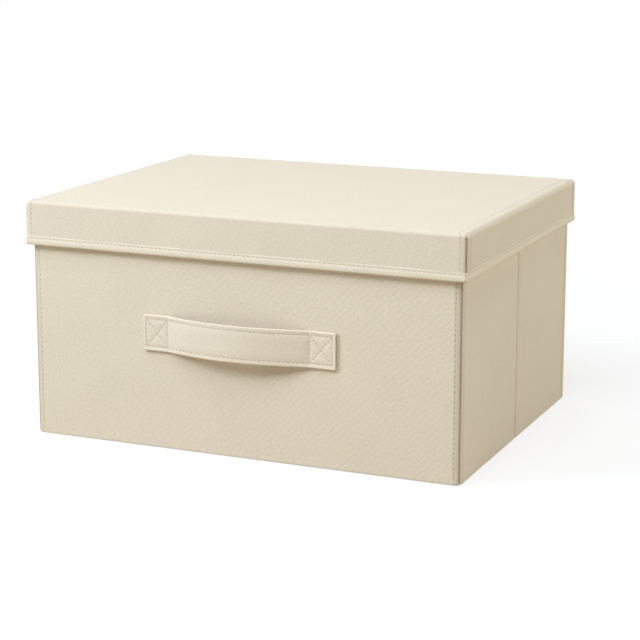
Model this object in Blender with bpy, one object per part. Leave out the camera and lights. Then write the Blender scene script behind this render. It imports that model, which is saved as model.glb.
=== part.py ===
"""A lidded, fold-flat fabric storage box: boards in sewn covers, a lift-off lid and a zipped bottom panel.

Metres, +Z up. The origin is the centre of the face that the box stands on, and the front faces -Y.
"""
from math import pi, sin

import bmesh
import bpy
from mathutils import Matrix, Vector

# Box body, outside
BODY_WIDTH = 0.400
BODY_DEPTH = 0.302
OVERALL_HEIGHT = 0.212

# Layers of a wall, from outside to inside
OUTER_FABRIC = 0.0008
WALL_BOARD = 0.0022
LINING_FABRIC = 0.0005
FIT_GAP = 0.0003

# Fabric folded over the boards' top and end edges
TOP_FOLD = 0.0006
END_FOLD = 0.0005

# Clearances of the fold lines, to the panel that a side half folds against
CORNER_HINGE_CLEARANCE = 0.0003
CREASE_CLEARANCE = 0.00015

# Bottom panel
BOTTOM_UNDERSIDE = 0.0006
BOTTOM_BOARD = 0.0020
BOTTOM_LINING = 0.0004
BOTTOM_SIDE_FOLD = 0.0005
ZIP_LIP = 0.0008
BOTTOM_HINGE_CLEARANCE = 0.00015

# Zip in the groove round the bottom panel
ZIP_TAPE_WIDTH = 0.0048
ZIP_TAPE = 0.0005
ZIP_COIL_WIDTH = 0.0024
ZIP_COIL_HEIGHT = 0.0012
SLIDER_LENGTH = 0.0085
SLIDER_THROAT_WIDTH = 0.0018
SLIDER_THROAT_LENGTH = 0.0030
PULL_LENGTH = 0.0160
PULL_WIDTH = 0.0036
PULL_THICKNESS = 0.0006
PULL_HOLE_WIDTH = 0.0016
PULL_HOLE_LENGTH = 0.0060
PULL_END_MARGIN = 0.0016

# Lid
LID_FABRIC = 0.0007
LID_SKIRT_BOARD = 0.0010
LID_TOP_BOARD = 0.0020
LID_LINING = 0.0005
LID_SKIRT_HEIGHT = 0.039
LID_CLEARANCE = 0.0018
LID_EDGE_RADIUS = 0.0045
LID_EDGE_SEGMENTS = 4
HEM_FABRIC = 0.0006
HEM_HEIGHT = 0.0080

# Handle strap on the front, and the stretch of it that stands off the panel
STRAP_LENGTH = 0.181
STRAP_WIDTH = 0.0315
STRAP_THICKNESS = 0.0020
STRAP_TAB_LENGTH = 0.0247
STRAP_BOW = 0.0135
STRAP_CENTRE_HEIGHT = 0.1026
STRAP_BOW_STEPS = 28
STRAP_SKEW_SHARE = 1.19
STRAP_LEFT_FULLNESS_SHARE = 1.4
STRAP_RIGHT_FULLNESS_SHARE = 1.0

# How far a cutter runs past what it cuts
OVERRUN = 0.002

# Sizes that follow
HALF_WIDTH = BODY_WIDTH / 2
HALF_DEPTH = BODY_DEPTH / 2
WALL = OUTER_FABRIC + FIT_GAP + WALL_BOARD + FIT_GAP + LINING_FABRIC
INNER_HALF_WIDTH = HALF_WIDTH - WALL
INNER_HALF_DEPTH = HALF_DEPTH - WALL
BOTTOM_THICKNESS = BOTTOM_UNDERSIDE + FIT_GAP + BOTTOM_BOARD + FIT_GAP + BOTTOM_LINING
WALL_BASE = BOTTOM_THICKNESS + FIT_GAP
LID_TOP = LID_FABRIC + FIT_GAP + LID_TOP_BOARD + FIT_GAP + LID_LINING
WALL_TOP = OVERALL_HEIGHT - LID_TOP - FIT_GAP
CORNER_HINGE_Y = INNER_HALF_DEPTH - CORNER_HINGE_CLEARANCE
CREASE_X = HALF_WIDTH + CREASE_CLEARANCE
LID_SKIRT = LID_FABRIC + FIT_GAP + LID_SKIRT_BOARD + FIT_GAP + LID_LINING
LID_HALF_WIDTH = HALF_WIDTH + LID_CLEARANCE + LID_SKIRT
LID_HALF_DEPTH = HALF_DEPTH + LID_CLEARANCE + LID_SKIRT
LID_BASE = OVERALL_HEIGHT - LID_SKIRT_HEIGHT
SKIRT_BASE = LID_BASE + HEM_FABRIC + FIT_GAP
SKIRT_BOARD_TOP = OVERALL_HEIGHT - LID_EDGE_RADIUS

# Corner numbers of a box, bit by bit in X, Y and Z, going round each face as seen from outside
BOX_FACES = {
    "-x": (0, 4, 6, 2),
    "+x": (1, 3, 7, 5),
    "-y": (0, 1, 5, 4),
    "+y": (2, 6, 7, 3),
    "-z": (0, 2, 3, 1),
    "+z": (4, 5, 7, 6),
}


def clear_scene():
    """Remove the objects that the file opens with."""
    for thing in list(bpy.data.objects):
        bpy.data.objects.remove(thing, do_unlink=True)


def make_material(name, colour, roughness, metallic=0.0):
    """A plain Principled material for one piece."""
    material = bpy.data.materials.new(name)
    material.use_nodes = True
    shader = material.node_tree.nodes["Principled BSDF"]
    shader.inputs["Base Color"].default_value = (*colour, 1.0)
    shader.inputs["Roughness"].default_value = roughness
    shader.inputs["Metallic"].default_value = metallic
    return material


def outer_fabric(name):
    """Cream felted fabric."""
    return make_material(name + "_fabric", (0.72, 0.66, 0.54), 0.9)


def lining_fabric(name):
    """Thinner fabric on the inside."""
    return make_material(name + "_lining", (0.76, 0.71, 0.60), 0.9)


def board_card(name):
    """Grey pressed card."""
    return make_material(name + "_card", (0.42, 0.38, 0.32), 0.85)


def zip_plastic(name):
    """Moulded zip coil and its tape."""
    return make_material(name + "_plastic", (0.66, 0.60, 0.48), 0.5)


def zip_metal(name):
    """Plated zinc of the slider and its pull."""
    return make_material(name + "_metal", (0.62, 0.61, 0.58), 0.3, 1.0)


def make_pivot(name, place, parent=None):
    """An empty on a joint's axis, which the pieces of one body hang on."""
    pivot = bpy.data.objects.new(name, None)
    bpy.context.collection.objects.link(pivot)
    pivot["place"] = place
    pivot.location = place
    if parent is not None:
        pivot.parent = parent
        pivot.location = Vector(place) - Vector(parent["place"])
    return pivot


def add_piece(name, mesh, pivot, material=None):
    """Close a bmesh that is in the object's frame into a named object on its body's pivot."""
    bmesh.ops.recalc_face_normals(mesh, faces=mesh.faces)
    data = bpy.data.meshes.new(name)
    mesh.transform(Matrix.Translation(-Vector(pivot["place"])))
    mesh.to_mesh(data)
    mesh.free()
    piece = bpy.data.objects.new(name, data)
    bpy.context.collection.objects.link(piece)
    piece.parent = pivot
    if material is not None:
        data.materials.append(material(name))
    return piece


def box_corners(low, high):
    """The eight corners between two opposite ones."""
    return [Vector((x, y, z)) for z in (low[2], high[2]) for y in (low[1], high[1]) for x in (low[0], high[0])]


def box_mesh(low, high):
    """A solid box."""
    mesh = bmesh.new()
    corners = [mesh.verts.new(place) for place in box_corners(low, high)]
    for loop in BOX_FACES.values():
        mesh.faces.new([corners[number] for number in loop])
    return mesh


def pocket_mesh(low, high, hollow_low, hollow_high):
    """A box with a box-shaped hollow that is open at the bottom."""
    mesh = bmesh.new()
    outer = [mesh.verts.new(place) for place in box_corners(low, high)]
    hollow_floor = (hollow_low[0], hollow_low[1], low[2])
    inner = [mesh.verts.new(place) for place in box_corners(hollow_floor, hollow_high)]
    for side, loop in BOX_FACES.items():
        if side != "-z":
            mesh.faces.new([outer[number] for number in loop])
            mesh.faces.new([inner[number] for number in reversed(loop)])
    rim = BOX_FACES["-z"]
    for number, after in zip(rim, rim[1:] + rim[:1]):
        mesh.faces.new((outer[number], outer[after], inner[after], inner[number]))
    return mesh


def loft_mesh(loops, ring=False):
    """Skin a row of loops with the same number of points each, capped at both ends unless it is a ring."""
    mesh = bmesh.new()
    rows = [[mesh.verts.new(place) for place in loop] for loop in loops]
    pairs = list(zip(rows, rows[1:]))
    if ring:
        pairs.append((rows[-1], rows[0]))
    for row, following in pairs:
        for step in range(len(row)):
            after = (step + 1) % len(row)
            mesh.faces.new((row[step], row[after], following[after], following[step]))
    if not ring:
        mesh.faces.new(rows[0])
        mesh.faces.new(rows[-1])
    return mesh


def cut(piece, cutter_name, cutter_mesh, pivot):
    """Cut one piece with a hidden cutter."""
    cutter = add_piece(cutter_name, cutter_mesh, pivot)
    cutter.hide_render = True
    cutter.display_type = "WIRE"
    cutter.hide_set(True)
    boolean = piece.modifiers.new(cutter_name, "BOOLEAN")
    boolean.operation = "DIFFERENCE"
    boolean.solver = "EXACT"
    boolean.object = cutter


def rounded_top_mesh(low, high, radius):
    """A box whose four top edges are rounded."""
    mesh = box_mesh(low, high)
    top_edges = [edge for edge in mesh.edges if all(vert.co.z == mesh_top(mesh) for vert in edge.verts)]
    bmesh.ops.bevel(
        mesh,
        geom=top_edges,
        offset=radius,
        offset_type="OFFSET",
        segments=LID_EDGE_SEGMENTS,
        profile=0.5,
        affect="EDGES",
    )
    return mesh


def mesh_top(mesh):
    """The height of a mesh's highest corner."""
    return max(vert.co.z for vert in mesh.verts)


def add_panel(name, low, high, outer_side, pivot):
    """One wall panel: a sewn cover, open at the bottom, and the board inside it.

    outer_side is the direction that the panel's outside faces: "-x", "+x", "-y" or "+y".
    """
    sleeve = {
        "-x": Vector((OUTER_FABRIC, END_FOLD, 0)),
        "+x": Vector((LINING_FABRIC, END_FOLD, 0)),
        "-y": Vector((END_FOLD, OUTER_FABRIC, 0)),
        "+y": Vector((END_FOLD, LINING_FABRIC, 0)),
    }
    opposite = {"-x": "+x", "+x": "-x", "-y": "+y", "+y": "-y"}
    at_low = sleeve[outer_side]
    at_high = sleeve[opposite[outer_side]]
    hollow_low = Vector(low) + at_low
    hollow_high = Vector(high) - at_high - Vector((0, 0, TOP_FOLD))
    add_piece(name + "_cover", pocket_mesh(low, high, hollow_low, hollow_high), pivot, outer_fabric)
    inset = Vector((FIT_GAP, FIT_GAP, FIT_GAP))
    add_piece(name + "_board", box_mesh(hollow_low + inset, hollow_high - inset), pivot, board_card)


def add_walls(pivots):
    """The back and front walls, and the four side halves between them."""
    add_panel("back", (-HALF_WIDTH, INNER_HALF_DEPTH, WALL_BASE), (HALF_WIDTH, HALF_DEPTH, WALL_TOP), "+y",
              pivots["back"])
    add_panel("front", (-HALF_WIDTH, -HALF_DEPTH, WALL_BASE), (HALF_WIDTH, -INNER_HALF_DEPTH, WALL_TOP), "-y",
              pivots["front"])
    crease_half_gap = FIT_GAP / 2
    for side, sign, outer_side in (("right", 1, "+x"), ("left", -1, "-x")):
        near, far = sorted((sign * INNER_HALF_WIDTH, sign * HALF_WIDTH))
        add_panel(side + "_rear", (near, crease_half_gap, WALL_BASE), (far, CORNER_HINGE_Y, WALL_TOP), outer_side,
                  pivots[side + "_rear"])
        add_panel(side + "_front", (near, -CORNER_HINGE_Y, WALL_BASE), (far, -crease_half_gap, WALL_TOP), outer_side,
                  pivots[side + "_front"])


def strap_rise(share):
    """How far the strap stands off, as a share of its bow, along the stretch between the tabs."""
    wave = max(sin(pi * share ** STRAP_SKEW_SHARE), 0)
    before_peak = share ** STRAP_SKEW_SHARE < 0.5
    return wave ** (STRAP_LEFT_FULLNESS_SHARE if before_peak else STRAP_RIGHT_FULLNESS_SHARE)


def add_handle(pivot):
    """A flat strap, sewn down at both ends and bowed out in the middle."""
    panel_face = -HALF_DEPTH - FIT_GAP
    strap_end = STRAP_LENGTH / 2
    free_half = strap_end - STRAP_TAB_LENGTH
    low = STRAP_CENTRE_HEIGHT - STRAP_WIDTH / 2
    high = STRAP_CENTRE_HEIGHT + STRAP_WIDTH / 2
    shares = [step / STRAP_BOW_STEPS for step in range(STRAP_BOW_STEPS + 1)]
    route = [(-strap_end, 0)]
    route += [(free_half * (2 * share - 1), STRAP_BOW * strap_rise(share)) for share in shares]
    route.append((strap_end, 0))
    loops = []
    for number, (along, rise) in enumerate(route):
        before = Vector(route[max(number - 1, 0)])
        after = Vector(route[min(number + 1, len(route) - 1)])
        slope = (after - before).normalized()
        off = Vector((-slope.y, slope.x)) * STRAP_THICKNESS
        back = Vector((along, panel_face - rise))
        outer = Vector((along + off.x, panel_face - rise - off.y))
        loops.append([(back.x, back.y, low), (outer.x, outer.y, low), (outer.x, outer.y, high), (back.x, back.y, high)])
    add_piece("handle_strap", loft_mesh(loops), pivot, outer_fabric)


def add_bottom(pivot, pull_pivot):
    """The bottom panel: cover with a board inside, and the zip in a groove round three of its edges."""
    groove_width = ZIP_TAPE_WIDTH + 2 * FIT_GAP
    groove_top = BOTTOM_THICKNESS - BOTTOM_LINING
    side_inset = ZIP_LIP + groove_width
    cover = add_piece(
        "bottom_cover",
        box_mesh((-HALF_WIDTH, -HALF_DEPTH, 0), (HALF_WIDTH, HALF_DEPTH, BOTTOM_THICKNESS)),
        pivot,
        outer_fabric,
    )
    left_groove = ((-HALF_WIDTH + ZIP_LIP, -HALF_DEPTH + ZIP_LIP, -OVERRUN),
                   (-HALF_WIDTH + side_inset, HALF_DEPTH + OVERRUN, groove_top))
    right_groove = ((HALF_WIDTH - side_inset, -HALF_DEPTH + ZIP_LIP, -OVERRUN),
                    (HALF_WIDTH - ZIP_LIP, HALF_DEPTH + OVERRUN, groove_top))
    front_groove = ((-HALF_WIDTH + side_inset - OVERRUN, -HALF_DEPTH + ZIP_LIP, -OVERRUN),
                    (HALF_WIDTH - side_inset + OVERRUN, -HALF_DEPTH + side_inset, groove_top))
    for name, ends in (("left", left_groove), ("right", right_groove), ("front", front_groove)):
        cut(cover, name + "_groove_cutter", box_mesh(*ends), pivot)
    board_inset = side_inset + BOTTOM_SIDE_FOLD
    hollow_low = Vector((-HALF_WIDTH + board_inset, -HALF_DEPTH + board_inset, BOTTOM_UNDERSIDE))
    hollow_high = Vector((HALF_WIDTH - board_inset, HALF_DEPTH, groove_top))
    cut(cover, "board_hollow_cutter", box_mesh(hollow_low, hollow_high + Vector((0, OVERRUN, 0))), pivot)
    inset = Vector((FIT_GAP, FIT_GAP, FIT_GAP))
    add_piece("bottom_board", box_mesh(hollow_low + inset, hollow_high - inset), pivot, board_card)
    add_zip(pivot, pull_pivot, groove_top)


def add_zip(pivot, pull_pivot, groove_top):
    """The chain round left, front and right, with its slider and pull near the rear of the left edge."""
    tape_top = groove_top - FIT_GAP
    tape_base = tape_top - ZIP_TAPE
    coil_base = tape_base - ZIP_COIL_HEIGHT
    tape_start = ZIP_LIP + FIT_GAP
    middle = tape_start + ZIP_TAPE_WIDTH / 2
    coil_start = middle - ZIP_COIL_WIDTH / 2
    coil_end = middle + ZIP_COIL_WIDTH / 2
    tape_end = tape_start + ZIP_TAPE_WIDTH
    profile = [(tape_start, tape_top), (tape_start, tape_base), (coil_start, tape_base), (coil_start, coil_base),
               (coil_end, coil_base), (coil_end, tape_base), (tape_end, tape_base), (tape_end, tape_top)]
    pull_y = pull_axis_y()
    slider_front = pull_y - SLIDER_LENGTH / 2
    slider_rear = pull_y + SLIDER_LENGTH / 2
    chain_left_end = slider_front - FIT_GAP
    loops = [
        [(-HALF_WIDTH + inset, chain_left_end, height) for inset, height in profile],
        [(-HALF_WIDTH + inset, -HALF_DEPTH + inset, height) for inset, height in profile],
        [(HALF_WIDTH - inset, -HALF_DEPTH + inset, height) for inset, height in profile],
        [(HALF_WIDTH - inset, zip_end_y(), height) for inset, height in profile],
    ]
    add_piece("zip_chain", loft_mesh(loops), pivot, zip_plastic)
    centre_x = -HALF_WIDTH + middle
    slider_half = ZIP_TAPE_WIDTH / 2
    slider = add_piece(
        "zip_slider",
        box_mesh((centre_x - slider_half, slider_front, coil_base), (centre_x + slider_half, slider_rear, tape_top)),
        pivot,
        zip_metal,
    )
    throat_half = SLIDER_THROAT_WIDTH / 2
    cut(slider, "slider_throat_cutter",
        box_mesh((centre_x - throat_half, slider_front - OVERRUN, coil_base - OVERRUN),
                 (centre_x + throat_half, slider_front + SLIDER_THROAT_LENGTH, tape_top + OVERRUN)), pivot)
    pull_top = coil_base - FIT_GAP
    pull_half = PULL_WIDTH / 2
    pull = add_piece(
        "zip_pull",
        box_mesh((centre_x - pull_half, pull_y, pull_top - PULL_THICKNESS),
                 (centre_x + pull_half, zip_end_y(), pull_top)),
        pull_pivot,
        zip_metal,
    )
    hole_half = PULL_HOLE_WIDTH / 2
    hole_rear = zip_end_y() - PULL_END_MARGIN
    cut(pull, "pull_hole_cutter",
        box_mesh((centre_x - hole_half, hole_rear - PULL_HOLE_LENGTH, -OVERRUN),
                 (centre_x + hole_half, hole_rear, pull_top + OVERRUN)), pull_pivot)


def zip_end_y():
    """Where the zip stops, just short of the back edge."""
    return HALF_DEPTH - FIT_GAP


def pull_axis_y():
    """Where the pull's pivot is along the zip, in the middle of the slider: the pull lies back to the zip's end."""
    return zip_end_y() - PULL_LENGTH


def pull_axis_height():
    """The height of the pull's pivot, in the middle of its thickness."""
    coil_base = BOTTOM_THICKNESS - BOTTOM_LINING - FIT_GAP - ZIP_TAPE - ZIP_COIL_HEIGHT
    return coil_base - FIT_GAP - PULL_THICKNESS / 2


def add_lid_fabric(pivot):
    """The strip over front, top and back, the two end covers, the lining and the hem binding."""
    half_x = LID_HALF_WIDTH
    half_y = LID_HALF_DEPTH
    strip = add_piece(
        "lid_top_cover",
        rounded_top_mesh((-half_x, -half_y, SKIRT_BASE), (half_x, half_y, OVERALL_HEIGHT), LID_EDGE_RADIUS),
        pivot,
        outer_fabric,
    )
    in_x = half_x - LID_FABRIC
    in_y = half_y - LID_FABRIC
    in_top = OVERALL_HEIGHT - LID_FABRIC
    hollow = rounded_top_mesh((-in_x, -in_y, SKIRT_BASE - OVERRUN), (in_x, in_y, in_top), LID_EDGE_RADIUS - LID_FABRIC)
    cut(strip, "lid_hollow_cutter", hollow, pivot)
    window_y = in_y - FIT_GAP
    window_top = SKIRT_BOARD_TOP - FIT_GAP
    for side, sign in (("right", 1), ("left", -1)):
        window = sorted((sign * (in_x - FIT_GAP), sign * (half_x + OVERRUN)))
        cut(strip, side + "_end_window_cutter",
            box_mesh((window[0], -window_y, SKIRT_BASE - OVERRUN), (window[1], window_y, window_top)), pivot)
        near, far = sorted((sign * in_x, sign * half_x))
        end_low = (near, -window_y + FIT_GAP, SKIRT_BASE)
        end_high = (far, window_y - FIT_GAP, window_top - FIT_GAP)
        add_piece("lid_" + side + "_end_cover", box_mesh(end_low, end_high), pivot, outer_fabric)
    lining_x = half_x - LID_SKIRT + LID_LINING
    lining_y = half_y - LID_SKIRT + LID_LINING
    lining_top = OVERALL_HEIGHT - LID_TOP + LID_LINING
    lining_low = Vector((-lining_x, -lining_y, SKIRT_BASE))
    lining_high = Vector((lining_x, lining_y, lining_top))
    skin = Vector((LID_LINING, LID_LINING, 0))
    lining_hollow_high = lining_high - skin - Vector((0, 0, LID_LINING))
    add_piece("lid_lining", pocket_mesh(lining_low, lining_high, lining_low + skin, lining_hollow_high), pivot,
              lining_fabric)
    add_hem(pivot)


def add_hem(pivot):
    """A tape folded round the lower edge of the lid's skirt, on all four sides."""
    outer = HEM_FABRIC + FIT_GAP
    inner = -LID_SKIRT - FIT_GAP - HEM_FABRIC
    hem_top = LID_BASE + HEM_HEIGHT
    web_top = LID_BASE + HEM_FABRIC
    profile = [(outer, LID_BASE), (outer, hem_top), (FIT_GAP, hem_top), (FIT_GAP, web_top),
               (inner + HEM_FABRIC, web_top), (inner + HEM_FABRIC, hem_top), (inner, hem_top), (inner, LID_BASE)]
    loops = []
    for sign_x, sign_y in ((-1, -1), (1, -1), (1, 1), (-1, 1)):
        loops.append([(sign_x * (LID_HALF_WIDTH + out), sign_y * (LID_HALF_DEPTH + out), height)
                      for out, height in profile])
    add_piece("lid_hem_binding", loft_mesh(loops, ring=True), pivot, outer_fabric)


def add_lid_boards(pivot):
    """One board in the top and four in the skirt."""
    top_x = LID_HALF_WIDTH - LID_EDGE_RADIUS
    top_y = LID_HALF_DEPTH - LID_EDGE_RADIUS
    board_top = OVERALL_HEIGHT - LID_FABRIC - FIT_GAP
    add_piece("lid_top_board", box_mesh((-top_x, -top_y, board_top - LID_TOP_BOARD), (top_x, top_y, board_top)),
              pivot, board_card)
    out_x = LID_HALF_WIDTH - LID_FABRIC - FIT_GAP
    out_y = LID_HALF_DEPTH - LID_FABRIC - FIT_GAP
    in_y = out_y - LID_SKIRT_BOARD
    for side, sign in (("front", -1), ("back", 1)):
        near, far = sorted((sign * in_y, sign * out_y))
        add_piece("lid_" + side + "_board", box_mesh((-out_x, near, SKIRT_BASE), (out_x, far, SKIRT_BOARD_TOP)),
                  pivot, board_card)
    side_y = in_y - FIT_GAP
    for side, sign in (("right", 1), ("left", -1)):
        near, far = sorted((sign * (out_x - LID_SKIRT_BOARD), sign * out_x))
        add_piece("lid_" + side + "_board",
                  box_mesh((near, -side_y, SKIRT_BASE), (far, side_y, SKIRT_BOARD_TOP)), pivot, board_card)


def make_pivots():
    """The empties on the joint axes, in the order that they carry each other."""
    back = make_pivot("back_pivot", (0, 0, 0))
    pivots = {"back": back}
    for side, sign in (("right", 1), ("left", -1)):
        corner = (sign * INNER_HALF_WIDTH, CORNER_HINGE_Y, 0)
        pivots[side + "_rear"] = make_pivot(side + "_rear_pivot", corner, back)
        crease = (sign * CREASE_X, 0, 0)
        pivots[side + "_front"] = make_pivot(side + "_front_pivot", crease, pivots[side + "_rear"])
    front_corner = (INNER_HALF_WIDTH, -CORNER_HINGE_Y, 0)
    pivots["front"] = make_pivot("front_pivot", front_corner, pivots["right_front"])
    hinge = BOTTOM_HINGE_CLEARANCE
    pivots["bottom"] = make_pivot("bottom_pivot", (0, HALF_DEPTH + hinge, BOTTOM_THICKNESS + hinge), back)
    pull_x = -HALF_WIDTH + ZIP_LIP + FIT_GAP + ZIP_TAPE_WIDTH / 2
    pull_place = (pull_x, pull_axis_y(), pull_axis_height())
    pivots["pull"] = make_pivot("pull_pivot", pull_place, pivots["bottom"])
    pivots["lid"] = make_pivot("lid_pivot", (0, 0, LID_BASE), back)
    return pivots


def build():
    """Make the whole box, closed and with its lid on."""
    clear_scene()
    pivots = make_pivots()
    add_walls(pivots)
    add_handle(pivots["front"])
    add_bottom(pivots["bottom"], pivots["pull"])
    add_lid_fabric(pivots["lid"])
    add_lid_boards(pivots["lid"])


build()
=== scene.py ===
"""Looks of the clothes storage box: sewn cloth over the boards, thread, strap, zip, light and camera."""

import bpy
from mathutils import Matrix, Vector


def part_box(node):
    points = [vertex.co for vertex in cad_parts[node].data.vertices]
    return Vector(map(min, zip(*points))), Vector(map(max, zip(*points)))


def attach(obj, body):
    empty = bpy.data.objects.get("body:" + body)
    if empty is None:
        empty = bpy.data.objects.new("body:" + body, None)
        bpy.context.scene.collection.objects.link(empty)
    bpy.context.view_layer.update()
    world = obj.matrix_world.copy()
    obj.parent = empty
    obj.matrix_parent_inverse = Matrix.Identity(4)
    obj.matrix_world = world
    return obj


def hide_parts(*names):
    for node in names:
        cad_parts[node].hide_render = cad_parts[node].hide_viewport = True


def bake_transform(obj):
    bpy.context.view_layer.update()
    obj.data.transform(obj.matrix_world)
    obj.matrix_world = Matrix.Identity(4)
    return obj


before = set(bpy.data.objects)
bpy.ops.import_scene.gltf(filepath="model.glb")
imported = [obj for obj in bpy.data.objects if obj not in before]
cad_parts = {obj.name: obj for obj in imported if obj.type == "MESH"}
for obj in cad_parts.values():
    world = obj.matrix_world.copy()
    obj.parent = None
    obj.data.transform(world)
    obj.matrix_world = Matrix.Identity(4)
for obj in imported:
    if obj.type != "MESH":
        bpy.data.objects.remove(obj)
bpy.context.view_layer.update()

from collections import namedtuple
from math import acos, asin, ceil, cos, pi, radians, sin

import bmesh
import bpy
import numpy as np
from mathutils import Matrix, Vector

MM = 0.001
SHARP_ANGLE = radians(52)

# Places taken from the frame
FRONT_LOW, FRONT_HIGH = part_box("front_cover")
HEM_LOW, HEM_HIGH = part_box("lid_hem_binding")
LINING_LOW, LINING_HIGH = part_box("lid_lining")
STRAP_LOW, STRAP_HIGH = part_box("handle_strap")
CHAIN_LOW, CHAIN_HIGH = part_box("zip_chain")
BOTTOM_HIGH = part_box("bottom_cover")[1]
HALF_WIDTH = FRONT_HIGH.x
FRONT_FACE = FRONT_LOW.y
BACK_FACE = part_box("back_cover")[1].y
SIDE_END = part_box("right_rear_cover")[1].y
WALL = FRONT_HIGH.y - FRONT_LOW.y
WALL_BASE = FRONT_LOW.z
WALL_TOP = FRONT_HIGH.z
LID_HALF_X, LID_HALF_Y, LID_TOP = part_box("lid_top_cover")[1]
ZIP_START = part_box("zip_slider")[0].y

# Sewing: where a value differs from side to side, -1 is the left and 1 the right
PITCH = 4.36 * MM
THREAD_WIDTH = 0.75 * MM
THREAD_HEIGHT = 0.55 * MM
THREAD_SINK = 0.12 * MM
LINE_WIDTH = {-1: 0.48 * MM, 1: THREAD_WIDTH}
# Share of the painted shade in sewn lines: full on the right, weaker on the left side, which the key lamp
# lights
LINE_SHADE_SHARE = {-1: 0.4, 1: 1.0}
GROOVE = 0.22 * MM
GROOVE_WIDTH = 0.62 * MM
THREAD_DEPTH = GROOVE * 0.55
LINE_SHADE_WIDTH = 0.6 * MM
RIDGE_INSET = 1.5 * MM
RIDGE_WIDTH = 0.8 * MM
BORDER_EASE = 0.5 * MM

# Walls: lengths across, up and into their cloth
SEAM_INSET = 5.3 * MM
RIM_LINE = WALL_TOP - 5.0 * MM
RIM_MARGIN = 2.5 * MM
FOOT_MARGIN = 3.0 * MM
ROW_STEP = 0.25 * MM
FLAT_GRID = (0.22 * MM, 6 * MM)
SIDE_GRID = (0.28 * MM, 6 * MM)
TAPE_GRID = (0.2 * MM, PITCH / 2)
FLAT_END_GAP = 0.4 * MM
SIDE_END_GAP = 0.15 * MM
BORDER_RAISE = 0.10 * MM
BORDER_BEND = 0.40 * MM
BEND_REACH = SEAM_INSET + 1.5 * MM
SIDE_BORDER = 7.2 * MM
SIDE_BORDER_RAISE = 0.22 * MM
SIDE_BORDER_SOFTEN = 2.0 * MM
SIDE_BORDER_DIP = 0.16 * MM
SIDE_BORDER_DIP_WIDTH = 0.9 * MM
SIDE_RIDGE_WIDTH = 1.5 * MM
WAVE_FADE = 6 * MM
FLAT_WAVES = (70 * MM, 0.10 * MM)
SIDE_WAVES = (80 * MM, 0.12 * MM)
RIM_RADIUS = 1.3 * MM
CORNER_RADIUS = 1.5 * MM
SIDE_END_RADIUS = 1.2 * MM
BASE_RADIUS = 0.45 * MM
FOOT_RADIUS = 2.2 * MM
SIDE_FOOT_RADIUS = 1.2 * MM
FOOT_REACH = 8.0 * MM
FOOT_SHADE_WIDTH = 1.0 * MM
LEAN = 0.5 * MM
FLAP_BASE = 0.5 * MM
FLAP = 0.8 * MM
FLAP_TOP = WALL_BASE - 0.01 * MM
ARRIS_START = 0.05 * MM
ARRIS_REACH = 0.5 * MM
CORNER_SHADE_REACH = 3.5 * MM
RIM_RUN_MARGIN = 4 * MM
CREASE_RUN_MARGIN = 6 * MM
CREASE_DEPTH = 0.9 * MM
CREASE_INNER_DEPTH = 0.5 * MM
CREASE_WIDTH = 1.2 * MM
CREASE_VALLEY = 0.35 * MM
CREASE_VALLEY_WIDTH = 6.0 * MM
CREASE_BLEND = 2.5 * MM
CREASE_LINE_WIDTH = 1.1 * MM
CREASE_LIGHT_INSET = 3.4 * MM
CREASE_LIGHT_WIDTH = 2.2 * MM
CREASE_SHADE_REACH = 10 * MM

# Corner tapes
TAPE = 0.6 * MM
TAPE_PROUD = 0.35 * MM
TAPE_NOTCH = 1.1 * MM
TAPE_LAP = 1.0 * MM
TAPE_ROUND = 0.5 * MM
TAPE_FOOT_ROUND = 0.3 * MM
TAPE_RIM = 1.0 * MM
TAPE_EDGE_START = 0.1 * MM
TAPE_EDGE_REACH = 0.4 * MM

# Strap, as the frame's strap runs
STRAP_TAB = 24.7 * MM
STRAP_SPARE = 0.2 * MM
STRAP_RISE = 1.3 * MM
STRAP_HALF = STRAP_HIGH.x
STRAP_HALF_WIDTH = (STRAP_HIGH.z - STRAP_LOW.z) / 2 + STRAP_SPARE
STRAP_CENTRE = (STRAP_HIGH.z + STRAP_LOW.z) / 2 + STRAP_RISE
STRAP_THICKNESS = 2.0 * MM
STRAP_BOW_SHARE = 0.82
STRAP_BOW = (STRAP_HIGH.y - STRAP_LOW.y - STRAP_THICKNESS) * STRAP_BOW_SHARE
STRAP_SKEW_SHARE = 0.95
STRAP_LEFT_FULLNESS_SHARE = 0.9
STRAP_PITCH = 4.1 * MM
BOX_PITCH = 3.5 * MM
STRAP_SEAM_HEIGHT = STRAP_HALF_WIDTH - 3.8 * MM
STRAP_END_INSET = 3.0 * MM
STRAP_BOX_END = STRAP_TAB - 0.9 * MM
STRAP_ROUND = 0.8 * MM
STRAP_BEAD = 1.9 * MM
STRAP_BEAD_RAISE = 0.35 * MM
STRAP_PILLOW = 0.32 * MM
STRAP_PILLOW_EASE = 1.5 * MM
STRAP_PILLOW_WIDTH = 3.2 * MM
STRAP_LOOSE_REACH = 20 * MM
STRAP_WAVES = (30 * MM, 0.12 * MM)
STRAP_THREAD_WIDTH = 0.9 * MM
STRAP_SLOPE_STEP = 0.6 * MM
STRAP_COLUMNS = (0.25 * MM, 0.85 * MM)
STRAP_ROWS = (0.22 * MM, 0.7 * MM)

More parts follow.
